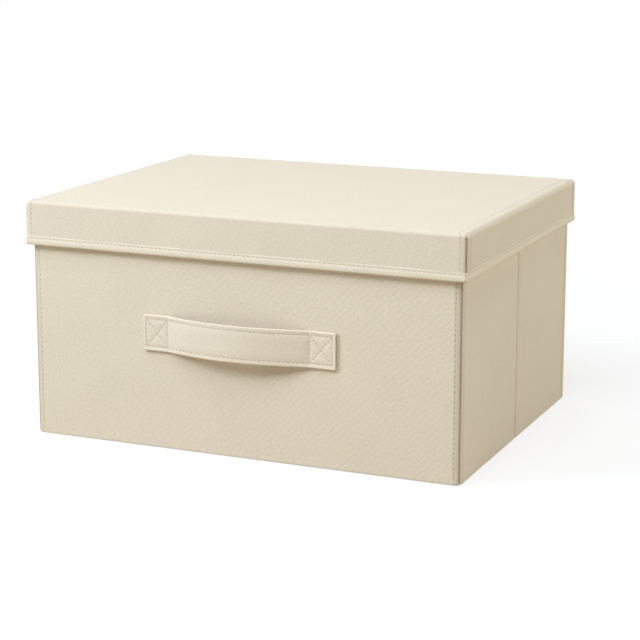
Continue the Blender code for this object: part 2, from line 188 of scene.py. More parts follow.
# Lid
LID_SIDE_ROLL = 4.4 * MM
LID_FRONT_ROLL = 2.8 * MM
LID_FLAT_Y = LID_HALF_Y - LID_FRONT_ROLL
LID_CORNER = 3.2 * MM
LID_SLIT_CORNER = 0.4 * MM
LID_REACH = 12.0 * MM
LID_CLOTH = 0.3 * MM
LID_ROW_STEP = 0.4 * MM
LID_NEAR_STEP = 0.32 * MM
LID_CORNER_STEP = 0.42 * MM
LID_TOP_GRID = (0.6 * MM, 6 * MM)
LID_LAP = 1.2 * MM
TOP_LINE = {-1: 3.2 * MM, 1: 10.6 * MM}
SKIRT_LINE = 5.9 * MM
LINE_TURN_START = 9 * MM
LINE_TURN_REACH = 14 * MM
END_BORDER = 10.0 * MM
END_BORDER_RAISE = 0.3 * MM
END_BORDER_DIP = 0.35 * MM
END_SHADE_WIDTH = 1.3 * MM
BAND_RAISE = 0.15 * MM
BAND_START = 0.4 * MM
BAND_EASE = 1.3 * MM
BAND_TONE_EASE = 2 * MM
# Painted light: shade on the right skirt's band near its slit, a highlight on the left one's; shade in the
# slits, strongest on the right
SKIRT_BAND_SHADING = {-1: -0.05, 1: 0.16}
SLIT_SHADE_SHARE = {-1: 0.3, 1: 1.0}
SLIT_DEPTH = 1.3 * MM
SLIT_FRONT_GAP = {-1: 0.2 * MM, 1: 0.56 * MM}
SLIT_SIDE_GAP = {-1: 1.0 * MM, 1: 0.28 * MM}
SLIT_LIP = 3.0 * MM
SLIT_SHADE_START = 0.5 * MM
SLIT_SHADE_REACH = 0.8 * MM
SLIT_START = {-1: 4.0 * MM, 1: 0.8 * MM}
SLIT_RAMP = 3.0 * MM
SLIT_SEAM_INSET = 1.25 * MM
SLIT_SEAM_RADIUS = 0.6 * MM
SLIT_SEAM_LAP = 2 * MM
CORNER_SHARE_REACH = 3 * MM
SKIRT_WAVES = (50 * MM, 0.08 * MM)
SKIRT_WAVE_FADE = 8 * MM
SKIRT_WAVE_DROP = 5 * MM
TOP_WAVES = (110 * MM, 0.16 * MM)
TOP_WAVE_FADE = 12 * MM
LINE_CLEARANCE = 0.6 * MM
MERGE = 0.002 * MM

# Hem tape: parts of its section, each point's second number in millimetres below the tape's top
# The first is millimetres out, for the lip a share of the tape's thickness
HEM_TUCK = ((-0.2, 0.5), (-0.1, 0.05))
HEM_LIP_SHARES = (
    (0.13, 0.02), (0.30, 0.3), (0.38, 1.0), (0.42, 1.5), (0.34, 1.9), (0.52, 2.4), (0.84, 3.3), (1.02, 4.6),
)
HEM_BACK_TOP = ((0.05, 0.4), (0.4, 0))
HEM_SKIRT_TOP = (-0.02, 0.5)
HEM_LINE_POINT = 6
HEM_LINE = HEM_HIGH.z - 1.9 * MM
HEM_TURN = 1.5 * MM
HEM_BACK_LAP = 4 * MM
HEM_BASE_LAP = 1.0 * MM
HEM_CORNER = 1.9 * MM
HEM_CORNER_STEPS = 8
HEM_SKIRT_GAP = 0.5 * MM
HEM_SWELL_START = 0.15 * MM
HEM_LINE_START = 0.3 * MM
HEM_LIP_START = 0.05 * MM
HEM_THREAD_SINK = 0.05 * MM
HEM_STRAIGHT_GAP = 4.5 * MM
HEM_PUCKER = 0.10 * MM
HEM_PUCKER_WIDTH = 1.2 * MM
HEM_DRIFTS = ((0.10 * MM, 17 * MM, 0), (0.07 * MM, 7.1 * MM, 1.3))

# Lid lining
LINING_RADIUS = 1.5 * MM
LINING_CLOTH = 0.4 * MM
LINING_GRID = (1 * MM, 9 * MM)
LINING_WAVES = (120 * MM, 0.12 * MM)
SAG_FADE = 20 * MM

# Bottom panel, rear hinge tape and zip
PANEL_GAP = 0.25 * MM
PANEL_BACK_GAP = 0.5 * MM
PANEL_RIM = 6.3 * MM
PANEL_STEP = 0.02 * MM
PANEL_FLANGE = 0.45 * MM
PANEL_ROUND = 0.9 * MM
FLANGE_ROUND = 0.2 * MM
PANEL_SINK = 0.08 * MM
PANEL_GRID = (0.25 * MM, 7 * MM)
PANEL_WAVES = (90 * MM, 0.08 * MM)
HINGE_TAPE = 0.3 * MM
HINGE_PROUD = 0.35 * MM
HINGE_RISE = 1.2 * MM
HINGE_BULGE = 0.02 * MM
HINGE_END_GAP = 3 * MM
HINGE_SECTION = ((0.02, 1.6), (0.25, 0.8), (0.75, 0.25), (1.5, 0.05), (4.5, 0.02))
ZIP_INSET = BOTTOM_HIGH.x - CHAIN_HIGH.x + 2.4 * MM
ZIP_SLIDER_GAP = 0.3 * MM
ZIP_TURN = 3.0 * MM
ZIP_TAPE_STEP = 2.0 * MM
ZIP_TAPE_HALF = 2.35 * MM
ZIP_TAPE = 0.5 * MM
ZIP_TAPE_EDGE = 0.9 * MM
ZIP_PITCH = 1.0 * MM
ZIP_BAR_HALF = 1.15 * MM
ZIP_BAR_LEAN = 0.35 * MM
ZIP_BAR_HEIGHT = CHAIN_LOW.z + 0.45 * MM
METAL_EDGE = 0.15 * MM


def smooth(share):
    """Ease from 0 to 1 as share goes from 0 to 1."""
    held = np.clip(share, 0, 1)
    return held * held * (3 - 2 * held)


def fading(distance, reach):
    """Ease from 1 at no distance to 0 at the reach."""
    return 1 - smooth(distance / reach)


def groove(distance, width=GROOVE_WIDTH):
    """The section of a sewn-in line, 1 in its middle."""
    return np.exp(-np.square(distance / width))


def edge_round(radius, *distances):
    """How deep a surface lies below its plane near edges at these distances."""
    reach = np.sqrt(sum(np.maximum(radius - distance, 0) ** 2 for distance in distances))
    return radius - np.sqrt(np.maximum(radius ** 2 - np.minimum(reach, radius) ** 2, 0))


def waviness(across, up, length, height, seed):
    """Soft unevenness of cloth: a few plane waves of about this length, in random directions."""
    random = np.random.default_rng(seed)
    total = np.zeros(np.broadcast(across, up).shape)
    waves = 7
    for turn in random.uniform(0, 2 * pi, waves):
        wave_length = length * random.uniform(0.7, 1.6)
        phase = random.uniform(0, 2 * pi)
        total += np.sin((across * cos(turn) + up * sin(turn)) * 2 * pi / wave_length + phase)
    return height * total / waves


def seam_depth(distance, along, pitch=PITCH):
    """Depth of a sewn line at a distance from it: it dips most at the needle's holes."""
    return GROOVE * groove(distance) * (0.72 + 0.28 * np.cos(2 * pi * along / pitch))


def seam_painted_shading(distance):
    """Painted shade in a sewn line, and a painted highlight on a ridge beside it."""
    return -0.12 * groove(distance, LINE_SHADE_WIDTH) + 0.04 * groove(distance - RIDGE_INSET, RIDGE_WIDTH)


def border_depth(distance, line, raise_by, soften=MM):
    """A folded border stands a little proud between its edge and its line."""
    return -raise_by * smooth((line - BORDER_EASE - distance) / soften)


def graded(stops, fine, coarse, growth=0.35):
    """Grid lines through all the stops, close together near them and wide apart between them."""
    lines = [stops[0]]
    for start, end in zip(stops, stops[1:]):
        half = (end - start) / 2
        offsets = [0.0]
        while offsets[-1] < half:
            offsets.append(offsets[-1] + min(coarse, fine + growth * offsets[-1]))
        inner = [offset * half / offsets[-1] for offset in offsets[1:-1]]
        lines += [start + offset for offset in inner] + [start + half]
        lines += [end - offset for offset in reversed(inner)] + [end]
    return np.array(lines)


def spread(*parts):
    """Rows of three numbers from three grids or numbers."""
    return np.stack(np.broadcast_arrays(*parts), -1).reshape(-1, 3)


def lengths_along(route):
    """The length along a route at each of its points."""
    return np.concatenate(([0], np.cumsum(np.linalg.norm(np.diff(route, axis=0), axis=1))))


def at_lengths(at, lengths, values):
    """What a route carries at some lengths along it."""
    return np.stack([np.interp(at, lengths, column) for column in np.transpose(values)], -1)


def make_piece(name, points, faces, cloth, tone, material, recalculate=True):
    """A smooth-shaded mesh that carries its cloth coordinates and its tone of painted shade and painted
    highlight.
    """
    mesh = bpy.data.meshes.new(name)
    mesh.from_pydata(np.asarray(points).tolist(), [], faces)
    carried = mesh.attributes.new("cloth", "FLOAT_VECTOR", "POINT")
    carried.data.foreach_set("vector", np.asarray(cloth, np.float32).ravel())
    painted_shading = mesh.attributes.new("tone", "FLOAT", "POINT")
    painted_shading.data.foreach_set("value", np.asarray(np.zeros(len(points)) + np.ravel(tone), np.float32))
    if recalculate:
        shape = bmesh.new()
        shape.from_mesh(mesh)
        bmesh.ops.recalc_face_normals(shape, faces=shape.faces)
        shape.to_mesh(mesh)
        shape.free()
    mesh.shade_smooth()
    mesh.set_sharp_from_angle(angle=SHARP_ANGLE)
    mesh.materials.append(material)
    piece = bpy.data.objects.new(name, mesh)
    bpy.context.scene.collection.objects.link(piece)
    return piece


def settle(piece, slot, body, *nodes):
    """The piece stands in for these nodes of the frame and moves with a body; the slot is not used."""
    if nodes:
        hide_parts(*nodes)
    if body:
        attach(piece, body)


def grid_faces(rows, columns, first=0, turned=False):
    """Quads of a grid of points that is numbered row by row, turned the other way where asked."""
    grid = first + np.arange(rows * columns).reshape(rows, columns)
    corners = [grid[:-1, :-1], grid[:-1, 1:], grid[1:, 1:], grid[1:, :-1]]
    if turned:
        corners = corners[:1] + corners[:0:-1]
    return [tuple(face) for face in np.stack(corners, -1).reshape(-1, 4).tolist()]


def shell(name, across, up, place, outer, inner, material, tone=None):
    """A closed cloth shell: a grid on its outer and its inner face, joined all round the rim.

    place(across, up, depth) gives the points. outer and inner give how deep each face lies, as a function or a
    number, and tone the painted shade (browner) or painted highlight (lighter) on the cloth.
    """
    columns, rows = len(across), len(up)
    wide, high = np.meshgrid(across, up)
    points, cloth = [], []
    for side in (outer, inner):
        depth = (side(wide, high) if callable(side) else side) + 0 * wide
        points.append(spread(*place(wide, high, depth)))
        cloth.append(spread(wide, high, depth))
    count = columns * rows
    faces = grid_faces(rows, columns) + [face[::-1] for face in grid_faces(rows, columns, count)]
    grid = np.arange(count).reshape(rows, columns)
    rim = np.concatenate((grid[0], grid[1:, -1], grid[-1, -2::-1], grid[-2:0:-1, 0])).tolist()
    for here, after in zip(rim, rim[1:] + rim[:1]):
        faces.append((after, here, here + count, after + count))
    tones = np.tile(np.ravel(tone(wide, high)), 2) if tone else 0
    return make_piece(name, np.concatenate(points), faces, np.concatenate(cloth), tones, material)


def sweep(name, loops, material, cloth, closed_path=False, tone=0):
    """A closed skin over a row of equal loops, each a closed section, capped unless the path closes."""
    loops = np.asarray(loops)
    steps, sides = loops.shape[:2]
    faces = []
    for step in range(steps if closed_path else steps - 1):
        here, following = step * sides, (step + 1) % steps * sides
        for side in range(sides):
            after = (side + 1) % sides
            faces.append((here + side, here + after, following + after, following + side))
    if not closed_path:
        faces += [tuple(range(sides)), tuple(range(steps * sides - 1, (steps - 1) * sides - 1, -1))]
    return make_piece(name, loops.reshape(-1, 3), faces, np.reshape(cloth, (-1, 3)), tone, material)


def stitch_template():
    """A thread's visible bit, one unit long, wide and high, whose ends dive into the cloth."""
    sides = 6
    stations = ((-0.5, 0.0), (-0.44, 0.62), (-0.22, 1.0), (0.22, 1.0), (0.44, 0.62), (0.5, 0.0))
    points, faces = [], []
    for along, fullness in stations:
        dive = -1.1 * (2 * along) ** 4
        if fullness == 0:
            points.append((along, 0, dive * 0.5))
            continue
        for side in range(sides):
            turn = 2 * pi * side / sides
            points.append((along, fullness * cos(turn) / 2, (fullness * sin(turn) + dive) / 2))
    last = len(points) - 1
    rings = [1 + ring * sides for ring in range(len(stations) - 2)]
    for side in range(sides):
        after = (side + 1) % sides
        faces.append((0, rings[0] + after, rings[0] + side))
        faces.append((last, rings[-1] + side, rings[-1] + after))
        for ring, following in zip(rings, rings[1:]):
            faces.append((ring + side, ring + after, following + after, following + side))
    return np.array(points), faces


STITCH_POINTS, STITCH_FACES = stitch_template()


def stitches(name, runs, material, sink=THREAD_SINK, gap_share=0.34, width=THREAD_WIDTH):
    """Rows of stitches as one piece. A run is (points, normals, pitch), both along the row."""
    points, faces, cloth = [], [], []
    for route, normals, pitch in runs:
        route, normals = np.asarray(route, float), np.asarray(normals, float)
        lengths = lengths_along(route)
        count = max(round(lengths[-1] / pitch), 1)
        step = lengths[-1] / count
        for number in range(count):
            ends = np.array((number + gap_share / 2, number + 1 - gap_share / 2)) * step
            start, end = at_lengths(ends, lengths, route)
            along = (end - start) / np.linalg.norm(end - start)
            normal = at_lengths((number + 0.5) * step, lengths, normals)
            normal = normal - along * (normal @ along)
            normal /= np.linalg.norm(normal)
            centre = at_lengths((number + 0.5) * step, lengths, route)
            size = (np.linalg.norm(end - start), width, THREAD_HEIGHT)
            basis = np.stack((along * size[0], np.cross(normal, along) * size[1], normal * size[2]))
            first = len(points) * len(STITCH_POINTS)
            points.append(STITCH_POINTS @ basis + centre - normal * sink)
            cloth.append(STITCH_POINTS * size + (number * pitch, 0, 0))
            faces += [tuple(first + corner for corner in face) for face in STITCH_FACES]
    return make_piece(name, np.concatenate(points), faces, np.concatenate(cloth), 0, material, False)


def seam_run(points, normal, pitch=PITCH):
    """A row of stitches that all face one way."""
    route = spread(*points)
    return route, [normal] * len(route), pitch


# Materials

FIBRE_TURNS = (8, 67, 128)
FIBRE_STRETCH = (0.35, 2.4, 1.0)
# Painted light: where the ribs fade, across the flat walls in millimetres
RIB_LIGHT_FROM_MM, RIB_LIGHT_TO_MM = -150.0, 20.0
FELT_COLOURS = ((0.606, 0.523, 0.405), (0.888, 0.784, 0.622))
STRAP_COLOURS = ((0.632, 0.549, 0.43), (0.904, 0.798, 0.641))
HEM_COLOURS = ((0.638, 0.556, 0.431), (0.903, 0.80, 0.637))
LINING_COLOURS = ((0.66, 0.61, 0.50), (0.86, 0.80, 0.68))
# Painted shade: the brown that a negative tone mixes in, for shade in seams, corners, slits and at the base
PAINTED_SHADE_COLOUR = (0.40, 0.30, 0.185)
THREAD_COLOURS = ((0.39, 0.30, 0.19), (0.53, 0.43, 0.295))
CARD_COLOURS = ((0.24, 0.20, 0.15), (0.46, 0.41, 0.33))
METAL_COLOURS = ((0.50, 0.49, 0.46), (0.68, 0.66, 0.62))
ZIP_COLOURS = ((0.60, 0.54, 0.42), (0.72, 0.66, 0.54))
PER_MM = (1 / MM, 1 / MM, 1 / MM)
SCRATCHED = (1 / MM, 0.1 / MM, 1 / MM)
BUMPS = {"felt": 0.30 * MM, "thread": 0.12 * MM, "card": 0.10 * MM, "metal": 0.02 * MM, "zip": 0.03 * MM}


def feed(tree, socket, value):
    """Link a socket to another node's output, or set it to a plain value."""
    if isinstance(value, bpy.types.NodeSocket):
        tree.links.new(value, socket)
    else:
        socket.default_value = (*value, 1) if socket.type == "RGBA" else value


def add_node(tree, kind, inputs=(), **settings):
    """A shader node with its settings made and its inputs fed."""
    made = tree.nodes.new("ShaderNode" + kind)
    for name, value in settings.items():
        setattr(made, name, value)
    for name, value in dict(inputs).items():
        feed(tree, made.inputs[name], value)
    return made


def calculate(tree, operation, *terms):
    """A maths node over sockets and numbers, as its output."""
    return add_node(tree, "Math", dict(enumerate(terms)), operation=operation).outputs[0]


def weighted(tree, total, *terms):
    """A number plus sockets, each times its share."""
    for socket, share in terms:
        total = calculate(tree, "MULTIPLY_ADD", socket, share, total)
    return total


def noise_value(tree, place, per_mm, detail, roughness=0.6):
    """Noise over a place in millimetres."""
    inputs = {"Vector": place, "Scale": per_mm, "Detail": detail, "Roughness": roughness}
    return add_node(tree, "TexNoise", inputs).outputs["Fac"]


def mapped(tree, place, scale, turn=0.0):
    """A place that is stretched, and turned about its third axis."""
    inputs = {"Vector": place, "Scale": scale, "Rotation": (0, 0, turn)}
    return add_node(tree, "Mapping", inputs).outputs["Vector"]


def remapped(tree, value, start, end, lowest):
    """A share that runs from the lowest to 1 as a value goes from start to end."""
    inputs = {"Value": value, "From Min": start, "From Max": end, "To Min": lowest}
    return add_node(tree, "MapRange", inputs).outputs["Result"]


def cloth_place(tree):
    """The cloth's own coordinates in millimetres."""
    return mapped(tree, add_node(tree, "Attribute", attribute_name="cloth").outputs["Vector"], PER_MM)


def mixed_colour(tree, share, *ends):
    """Colour that runs from the first end to the second with a share, each a plain colour or a socket."""
    mix = add_node(tree, "Mix", {0: share}, data_type="RGBA", clamp_factor=True)
    for socket, end in zip([socket for socket in mix.inputs if socket.type == "RGBA"], ends):
        feed(tree, socket, end)
    return [socket for socket in mix.outputs if socket.type == "RGBA"][0]


def diagonal_ribs(tree, place, pitch_mm, turn):
    """Faint ribs across the cloth's bias, from 0 to 1."""
    inputs = {"Vector": mapped(tree, place, (1, 1, 1), turn), "Scale": 2 * pi / (20 * pitch_mm),
              "Distortion": 1.6, "Detail": 2.0, "Detail Scale": 3.0}
    return add_node(tree, "TexWave", inputs).outputs["Fac"]


def material_base(name, roughness, specular, sheen=0.0, metallic=0.0):
    """A material, its node tree and its shader with the plain settings made."""
    material = bpy.data.materials.new(name)
    material.use_nodes = True
    tree = material.node_tree
    shader = tree.nodes["Principled BSDF"]
    settings = {"Roughness": roughness, "Specular IOR Level": specular, "Sheen Weight": sheen,
                "Sheen Roughness": 0.45, "Metallic": metallic}
    for socket, value in settings.items():
        shader.inputs[socket].default_value = value
    return material, tree, shader


def paint(tree, shader, colour, height, depth, strength):
    """Give a shader its base colour, and a bump of this depth."""
    bump = add_node(tree, "Bump", {"Height": height, "Distance": depth, "Strength": strength})
    feed(tree, shader.inputs["Base Color"], colour)
    feed(tree, shader.inputs["Normal"], bump.outputs["Normal"])


def felt_material(name, colours, rib_share=0.0, grain_share=1.5, ribs_faded_for_light=False):
    """Felted cloth: fibres, grain, clouds, faint diagonal ribs, and the painted shade and painted highlight
    that its tone carries.
    """
    material, tree, shader = material_base(name, 0.92, 0.18, 0.12)
    place = cloth_place(tree)
    fibres = [noise_value(tree, mapped(tree, place, FIBRE_STRETCH, radians(turn)), 1.0, 1.0)
              for turn in FIBRE_TURNS]
    fibre_share = 0.55 * grain_share / len(fibres)
    grain = noise_value(tree, place, 0.42, 3.0, 0.62)
    clouds = noise_value(tree, place, 0.02, 2.0, 0.5)
    ribs = diagonal_ribs(tree, place, 4.7, radians(47))
    # Painted light: the ribs are the cloth's own, but they fade towards the left, in colour and bump, standing
    # in for the raking light that shows them on the right
    if ribs_faded_for_light:
        across = add_node(tree, "SeparateXYZ", {"Vector": place}).outputs["X"]
        kept = remapped(tree, across, RIB_LIGHT_FROM_MM, RIB_LIGHT_TO_MM, 0.25)
        ribs = calculate(tree, "MULTIPLY_ADD", calculate(tree, "SUBTRACT", ribs, 0.5), kept, 0.5)
    felted = weighted(tree, 0.0, *((fibre, fibre_share) for fibre in fibres), (grain, 0.40 * grain_share))
    middle = (0.95 * grain_share + rib_share + 0.16) / 2
    pattern = weighted(tree, 0.5 - middle, (felted, 1.0), (ribs, rib_share), (clouds, 0.16))
    # The tone attribute is painted light: below 0 it mixes in painted shade, above 0 it lifts the pattern as a
    # painted highlight
    painted_shading = add_node(tree, "Attribute", attribute_name="tone").outputs["Fac"]
    lifted = calculate(tree, "ADD", pattern, calculate(tree, "MAXIMUM", painted_shading, 0.0))
    sewn = calculate(tree, "MAXIMUM", calculate(tree, "MULTIPLY", painted_shading, -1.0), 0.0)
    shaded = mixed_colour(tree, sewn, mixed_colour(tree, lifted, *colours), PAINTED_SHADE_COLOUR)
    height = weighted(tree, 0.0, (felted, 1.0), (ribs, rib_share * 2.0))
    paint(tree, shader, shaded, height, BUMPS["felt"], 0.5)
    return material


def thread_material():
    """Spun thread: fine slanting plies."""
    material, tree, shader = material_base("thread", 0.7, 0.3, 0.1)
    plies = diagonal_ribs(tree, cloth_place(tree), 0.5, radians(35))
    paint(tree, shader, mixed_colour(tree, plies, *THREAD_COLOURS), plies, BUMPS["thread"], 0.6)
    return material


def card_material():
    """Pressed grey card with flecks."""
    material, tree, shader = material_base("card", 0.88, 0.2)
    place = mapped(tree, add_node(tree, "TexCoord").outputs["Object"], PER_MM)
    flecks = noise_value(tree, place, 0.8, 4.0, 0.75)
    paint(tree, shader, mixed_colour(tree, flecks, *CARD_COLOURS), flecks, BUMPS["card"], 0.4)
    return material


def metal_material():
    """Satin plated metal with fine scratches."""
    material, tree, shader = material_base("plated_metal", 0.32, 0.5, metallic=1.0)
    place = mapped(tree, add_node(tree, "TexCoord").outputs["Object"], SCRATCHED)
    scratches = noise_value(tree, place, 3.0, 3.0, 0.7)
    feed(tree, shader.inputs["Roughness"], weighted(tree, 0.22, (scratches, 0.2)))
    paint(tree, shader, mixed_colour(tree, scratches, *METAL_COLOURS), scratches, BUMPS["metal"], 0.5)
    return material


def zip_material():
    """Satin moulded plastic of the zip's coil."""
    material, tree, shader = material_base("zip_plastic", 0.45, 0.4)
    grain = noise_value(tree, cloth_place(tree), 1.5, 2.0)
    paint(tree, shader, mixed_colour(tree, grain, *ZIP_COLOURS), grain, BUMPS["zip"], 0.3)
    return material


CREAM = felt_material("cream_felt", FELT_COLOURS, rib_share=0.02)
RIBBED = felt_material("ribbed_felt", FELT_COLOURS, rib_share=0.10, grain_share=1.6, ribs_faded_for_light=True)
STRAP_FELT = felt_material("strap_felt", STRAP_COLOURS)
HEM_TAPE = felt_material("hem_tape", HEM_COLOURS)
LINING = felt_material("lining_felt", LINING_COLOURS, grain_share=0.8)
THREAD = thread_material()
CARD = card_material()
METAL = metal_material()
ZIP_PLASTIC = zip_material()


# Walls

def wall_rows():
    """Grid lines up a wall, in step with the stitches between the fine ones at its base and rim."""
    base = graded([FLAP_BASE, WALL_BASE, WALL_BASE + FOOT_MARGIN], ROW_STEP, PITCH / 4)
    rim = graded([RIM_LINE - RIM_MARGIN, RIM_LINE, WALL_TOP], ROW_STEP, PITCH / 4)
    count = ceil((rim[0] - base[-1]) / (PITCH / 4))
    return np.concatenate((base, np.linspace(base[-1], rim[0], count + 1)[1:-1], rim))


def wall_inner(end, across, up):
    """Depth of a wall's inner face, with its rounded rim and its sewn line."""
    rounded = edge_round(RIM_RADIUS, end - np.abs(across), WALL_TOP - up)
    return WALL - rounded - seam_depth(RIM_LINE - up, across)


def leaning(up):
    """How far the body's cloth leans in at a height."""
    return LEAN * smooth(up / WALL_TOP)


def lifted_foot(edge, up, radius):
    """Heights on a wall whose lower corner, at this distance from its end, is rounded."""
    return up + edge_round(radius, edge) * fading(up - FLAP_BASE, FOOT_REACH)


def foot_painted_shade(up):
    """Painted shade where the cloth turns under at its base."""
    return -0.30 * groove(up - FLAP_BASE, FOOT_SHADE_WIDTH)


def add_wall_cloth(name, flap, columns, rows, place, outer, inner, material, tone):
    """A wall's cloth, and the strip below it that covers the zip and stays with the bottom panel."""
    piece = shell(name, columns, rows[rows > FLAP_TOP], place, outer, inner, material, tone)
    if flap:
        strip = np.append(rows[rows < FLAP_TOP], FLAP_TOP)
        base = shell(flap, columns, strip, place, outer, FLAP, material, tone)
        settle(base, "cream_fabric", "bottom_panel")
    return piece


def add_flat_wall(end, face, outward, seed):
    """The cloth of the front or the back wall, with a topstitched border down both edges."""
    half = HALF_WIDTH - FLAT_END_GAP
    line = HALF_WIDTH - SEAM_INSET
    wall = end + "_wall"

    def outer(across, up):
        edge = half - np.abs(across)
        depth = edge_round(CORNER_RADIUS, edge) + edge_round(RIM_RADIUS, WALL_TOP - up)
        depth += edge_round(BASE_RADIUS, up - FLAP_BASE) + BORDER_BEND * fading(edge, BEND_REACH)
        depth += border_depth(HALF_WIDTH - np.abs(across), SEAM_INSET, BORDER_RAISE)
        depth += seam_depth(np.abs(across) - line, up) + seam_depth(RIM_LINE - up, across)
        return depth + waviness(across, up, *FLAT_WAVES, seed) * smooth(edge / WAVE_FADE)

    # Painted shade: a dark line along each upright corner with shade near it, a browner border that is
    # strongest on the right, the sewn lines and the base
    def tone(across, up):
        edge = half - np.abs(across)
        corner = -0.60 * fading(edge - ARRIS_START, ARRIS_REACH) - 0.12 * fading(edge, CORNER_SHADE_REACH)
        border = np.where(across > 0, -0.30, -0.10) * smooth((SEAM_INSET - edge) / MM)
        sewn = seam_painted_shading(np.abs(across) - line) * np.where(across > 0, LINE_SHADE_SHARE[1], LINE_SHADE_SHARE[-1])
        return corner + border + sewn + seam_painted_shading(RIM_LINE - up) + foot_painted_shade(up)

    def place(across, up, depth):
        narrower = 1 - leaning(up) / HALF_WIDTH
        height = lifted_foot(half - np.abs(across), up, FOOT_RADIUS)
        return across * narrower, face - outward * depth, height

    def inner(across, up):
        return wall_inner(half, across, up)

    columns = graded([-half, -line, line, half], *FLAT_GRID)
    flap = wall + "_base_flap" if end == "front" else None
    piece = add_wall_cloth(wall + "_fabric", flap, columns, wall_rows(), place, outer, inner, RIBBED, tone)
    settle(piece, "cream_fabric", wall, end + "_cover")
    ups = np.arange(WALL_BASE, WALL_TOP - RIM_RUN_MARGIN, PITCH)
    for sign, side in ((-1, "left"), (1, "right")):
        run = seam_run(place(sign * line, ups, THREAD_DEPTH), (0, outward, 0))
        thread = stitches(wall + "_" + side + "_stitches", [run], THREAD, width=LINE_WIDTH[sign])
        settle(thread, "cream_fabric", wall)
    across = np.linspace(-half + RIM_RUN_MARGIN, half - RIM_RUN_MARGIN, 60)
    runs = [seam_run(place(across, RIM_LINE, depth), (0, facing, 0))
            for depth, facing in ((THREAD_DEPTH, outward), (WALL - THREAD_DEPTH, -outward))]
    settle(stitches(wall + "_rim_stitches", runs, THREAD), "cream_fabric", wall)


def add_side_wall(side, sign):
    """The cloth of one side: one piece over both half boards, creased down its middle."""
    end = SIDE_END - SIDE_END_GAP
    border_line = end - SIDE_BORDER

    def outer(across, up):
        edge = end - np.abs(across)
        depth = edge_round(SIDE_END_RADIUS, edge, WALL_TOP - up) + edge_round(BASE_RADIUS, up - FLAP_BASE)
        depth += border_depth(edge, SIDE_BORDER, SIDE_BORDER_RAISE, SIDE_BORDER_SOFTEN)
        depth += SIDE_BORDER_DIP * groove(edge - SIDE_BORDER, SIDE_BORDER_DIP_WIDTH)
        depth += CREASE_DEPTH * groove(across, CREASE_WIDTH)
        depth += CREASE_VALLEY * groove(across, CREASE_VALLEY_WIDTH)
        depth += seam_depth(RIM_LINE - up, across)
        return depth + waviness(across, up, *SIDE_WAVES, 31 + sign) * smooth(edge / WAVE_FADE)

    def inner(across, up):
        return wall_inner(end, across, up) - CREASE_INNER_DEPTH * groove(across, CREASE_WIDTH)

    # Painted light: a highlight left of the crease, shade in the crease and right of it, a highlight on the
    # border's ridge, shade over the border, the sewn line and the base
    def tone(across, up):
        edge = end - np.abs(across)
        crease = 0.05 * groove(across + CREASE_LIGHT_INSET, CREASE_LIGHT_WIDTH)
        crease -= 0.30 * groove(across, CREASE_LINE_WIDTH)
        crease -= 0.12 * smooth(across / MM) * fading(across, CREASE_SHADE_REACH)
        border = 0.04 * groove(edge - SIDE_BORDER - MM, SIDE_RIDGE_WIDTH)
        border -= 0.13 * smooth((SIDE_BORDER - edge) / SIDE_BORDER_SOFTEN)
        return crease + border + foot_painted_shade(up) + seam_painted_shading(RIM_LINE - up)

    def place(across, up, depth):
        lean = leaning(up) * np.clip(1 - depth / WALL, 0, 1)
        height = lifted_foot(end - np.abs(across), up, SIDE_FOOT_RADIUS)
        return sign * (HALF_WIDTH - lean - depth), across, height

    columns = graded([-end, -border_line, -CREASE_BLEND, 0, CREASE_BLEND, border_line, end], *SIDE_GRID)
    wall = side + "_side"
    piece = add_wall_cloth(wall + "_fabric", wall + "_base_flap", columns, wall_rows(), place, outer, inner,
                           CREAM, tone)
    settle(piece, "cream_fabric", None, side + "_rear_cover", side + "_front_cover")
    runs = []
    for direction in (-1, 1):
        across = np.linspace(direction * CREASE_RUN_MARGIN, direction * (end - RIM_RUN_MARGIN), 30)
        for depth, facing in ((THREAD_DEPTH, 1), (WALL - THREAD_DEPTH, -1)):
            runs.append(seam_run(place(across, RIM_LINE, depth), (sign * facing, 0, 0)))
    thread = stitches(wall + "_stitches", runs, THREAD)
    settle(thread, "cream_fabric", None)
    for made in (piece, thread):
        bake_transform(made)


def add_corner(side, sign_x, end, sign_y):
    """The tape over one upright corner, from the flat wall's edge to the side."""
    face = BACK_FACE if sign_y > 0 else -FRONT_FACE
    start, stop = SIDE_END - TAPE_LAP, face - TAPE_NOTCH

    def outer(across, up):
        depth = edge_round(TAPE_ROUND, across - start, stop - across, WALL_TOP - up)
        return depth + edge_round(TAPE_FOOT_ROUND, up - FLAP_BASE)

    # Painted shade: the whole tape a little browner, darkest at its edge by the corner notch, and at its base
    def tone(across, up):
        return -0.13 - 0.4 * fading(stop - across - TAPE_EDGE_START, TAPE_EDGE_REACH) + foot_painted_shade(up)

    def place(across, up, depth):
        foot = lifted_foot(0, up, SIDE_FOOT_RADIUS)
        return sign_x * (HALF_WIDTH + TAPE_PROUD - leaning(up) - depth), sign_y * across, foot

    rows = graded([FLAP_BASE, WALL_BASE, WALL_TOP - TAPE_RIM, WALL_TOP], *TAPE_GRID)
    name = end + "_" + side + "_corner_tape"
    columns = np.linspace(start, stop, 14)
    tape = add_wall_cloth(name, name + "_base", columns, rows, place, outer, TAPE, CREAM, tone)
    wall = end + "_wall"
    if (side, end) == ("left", "front"):
        settle(tape, "cream_fabric", wall)
    else:
        settle(tape, "cream_fabric", None)
        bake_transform(tape)


def add_walls():
    """All of the body's cloth."""
    add_flat_wall("front", FRONT_FACE, -1, 11)
    add_flat_wall("back", BACK_FACE, 1, 12)
    for side, sign_x in (("right", 1), ("left", -1)):
        add_side_wall(side, sign_x)
        add_corner(side, sign_x, "front", -1)
        add_corner(side, sign_x, "back", 1)


# Strap

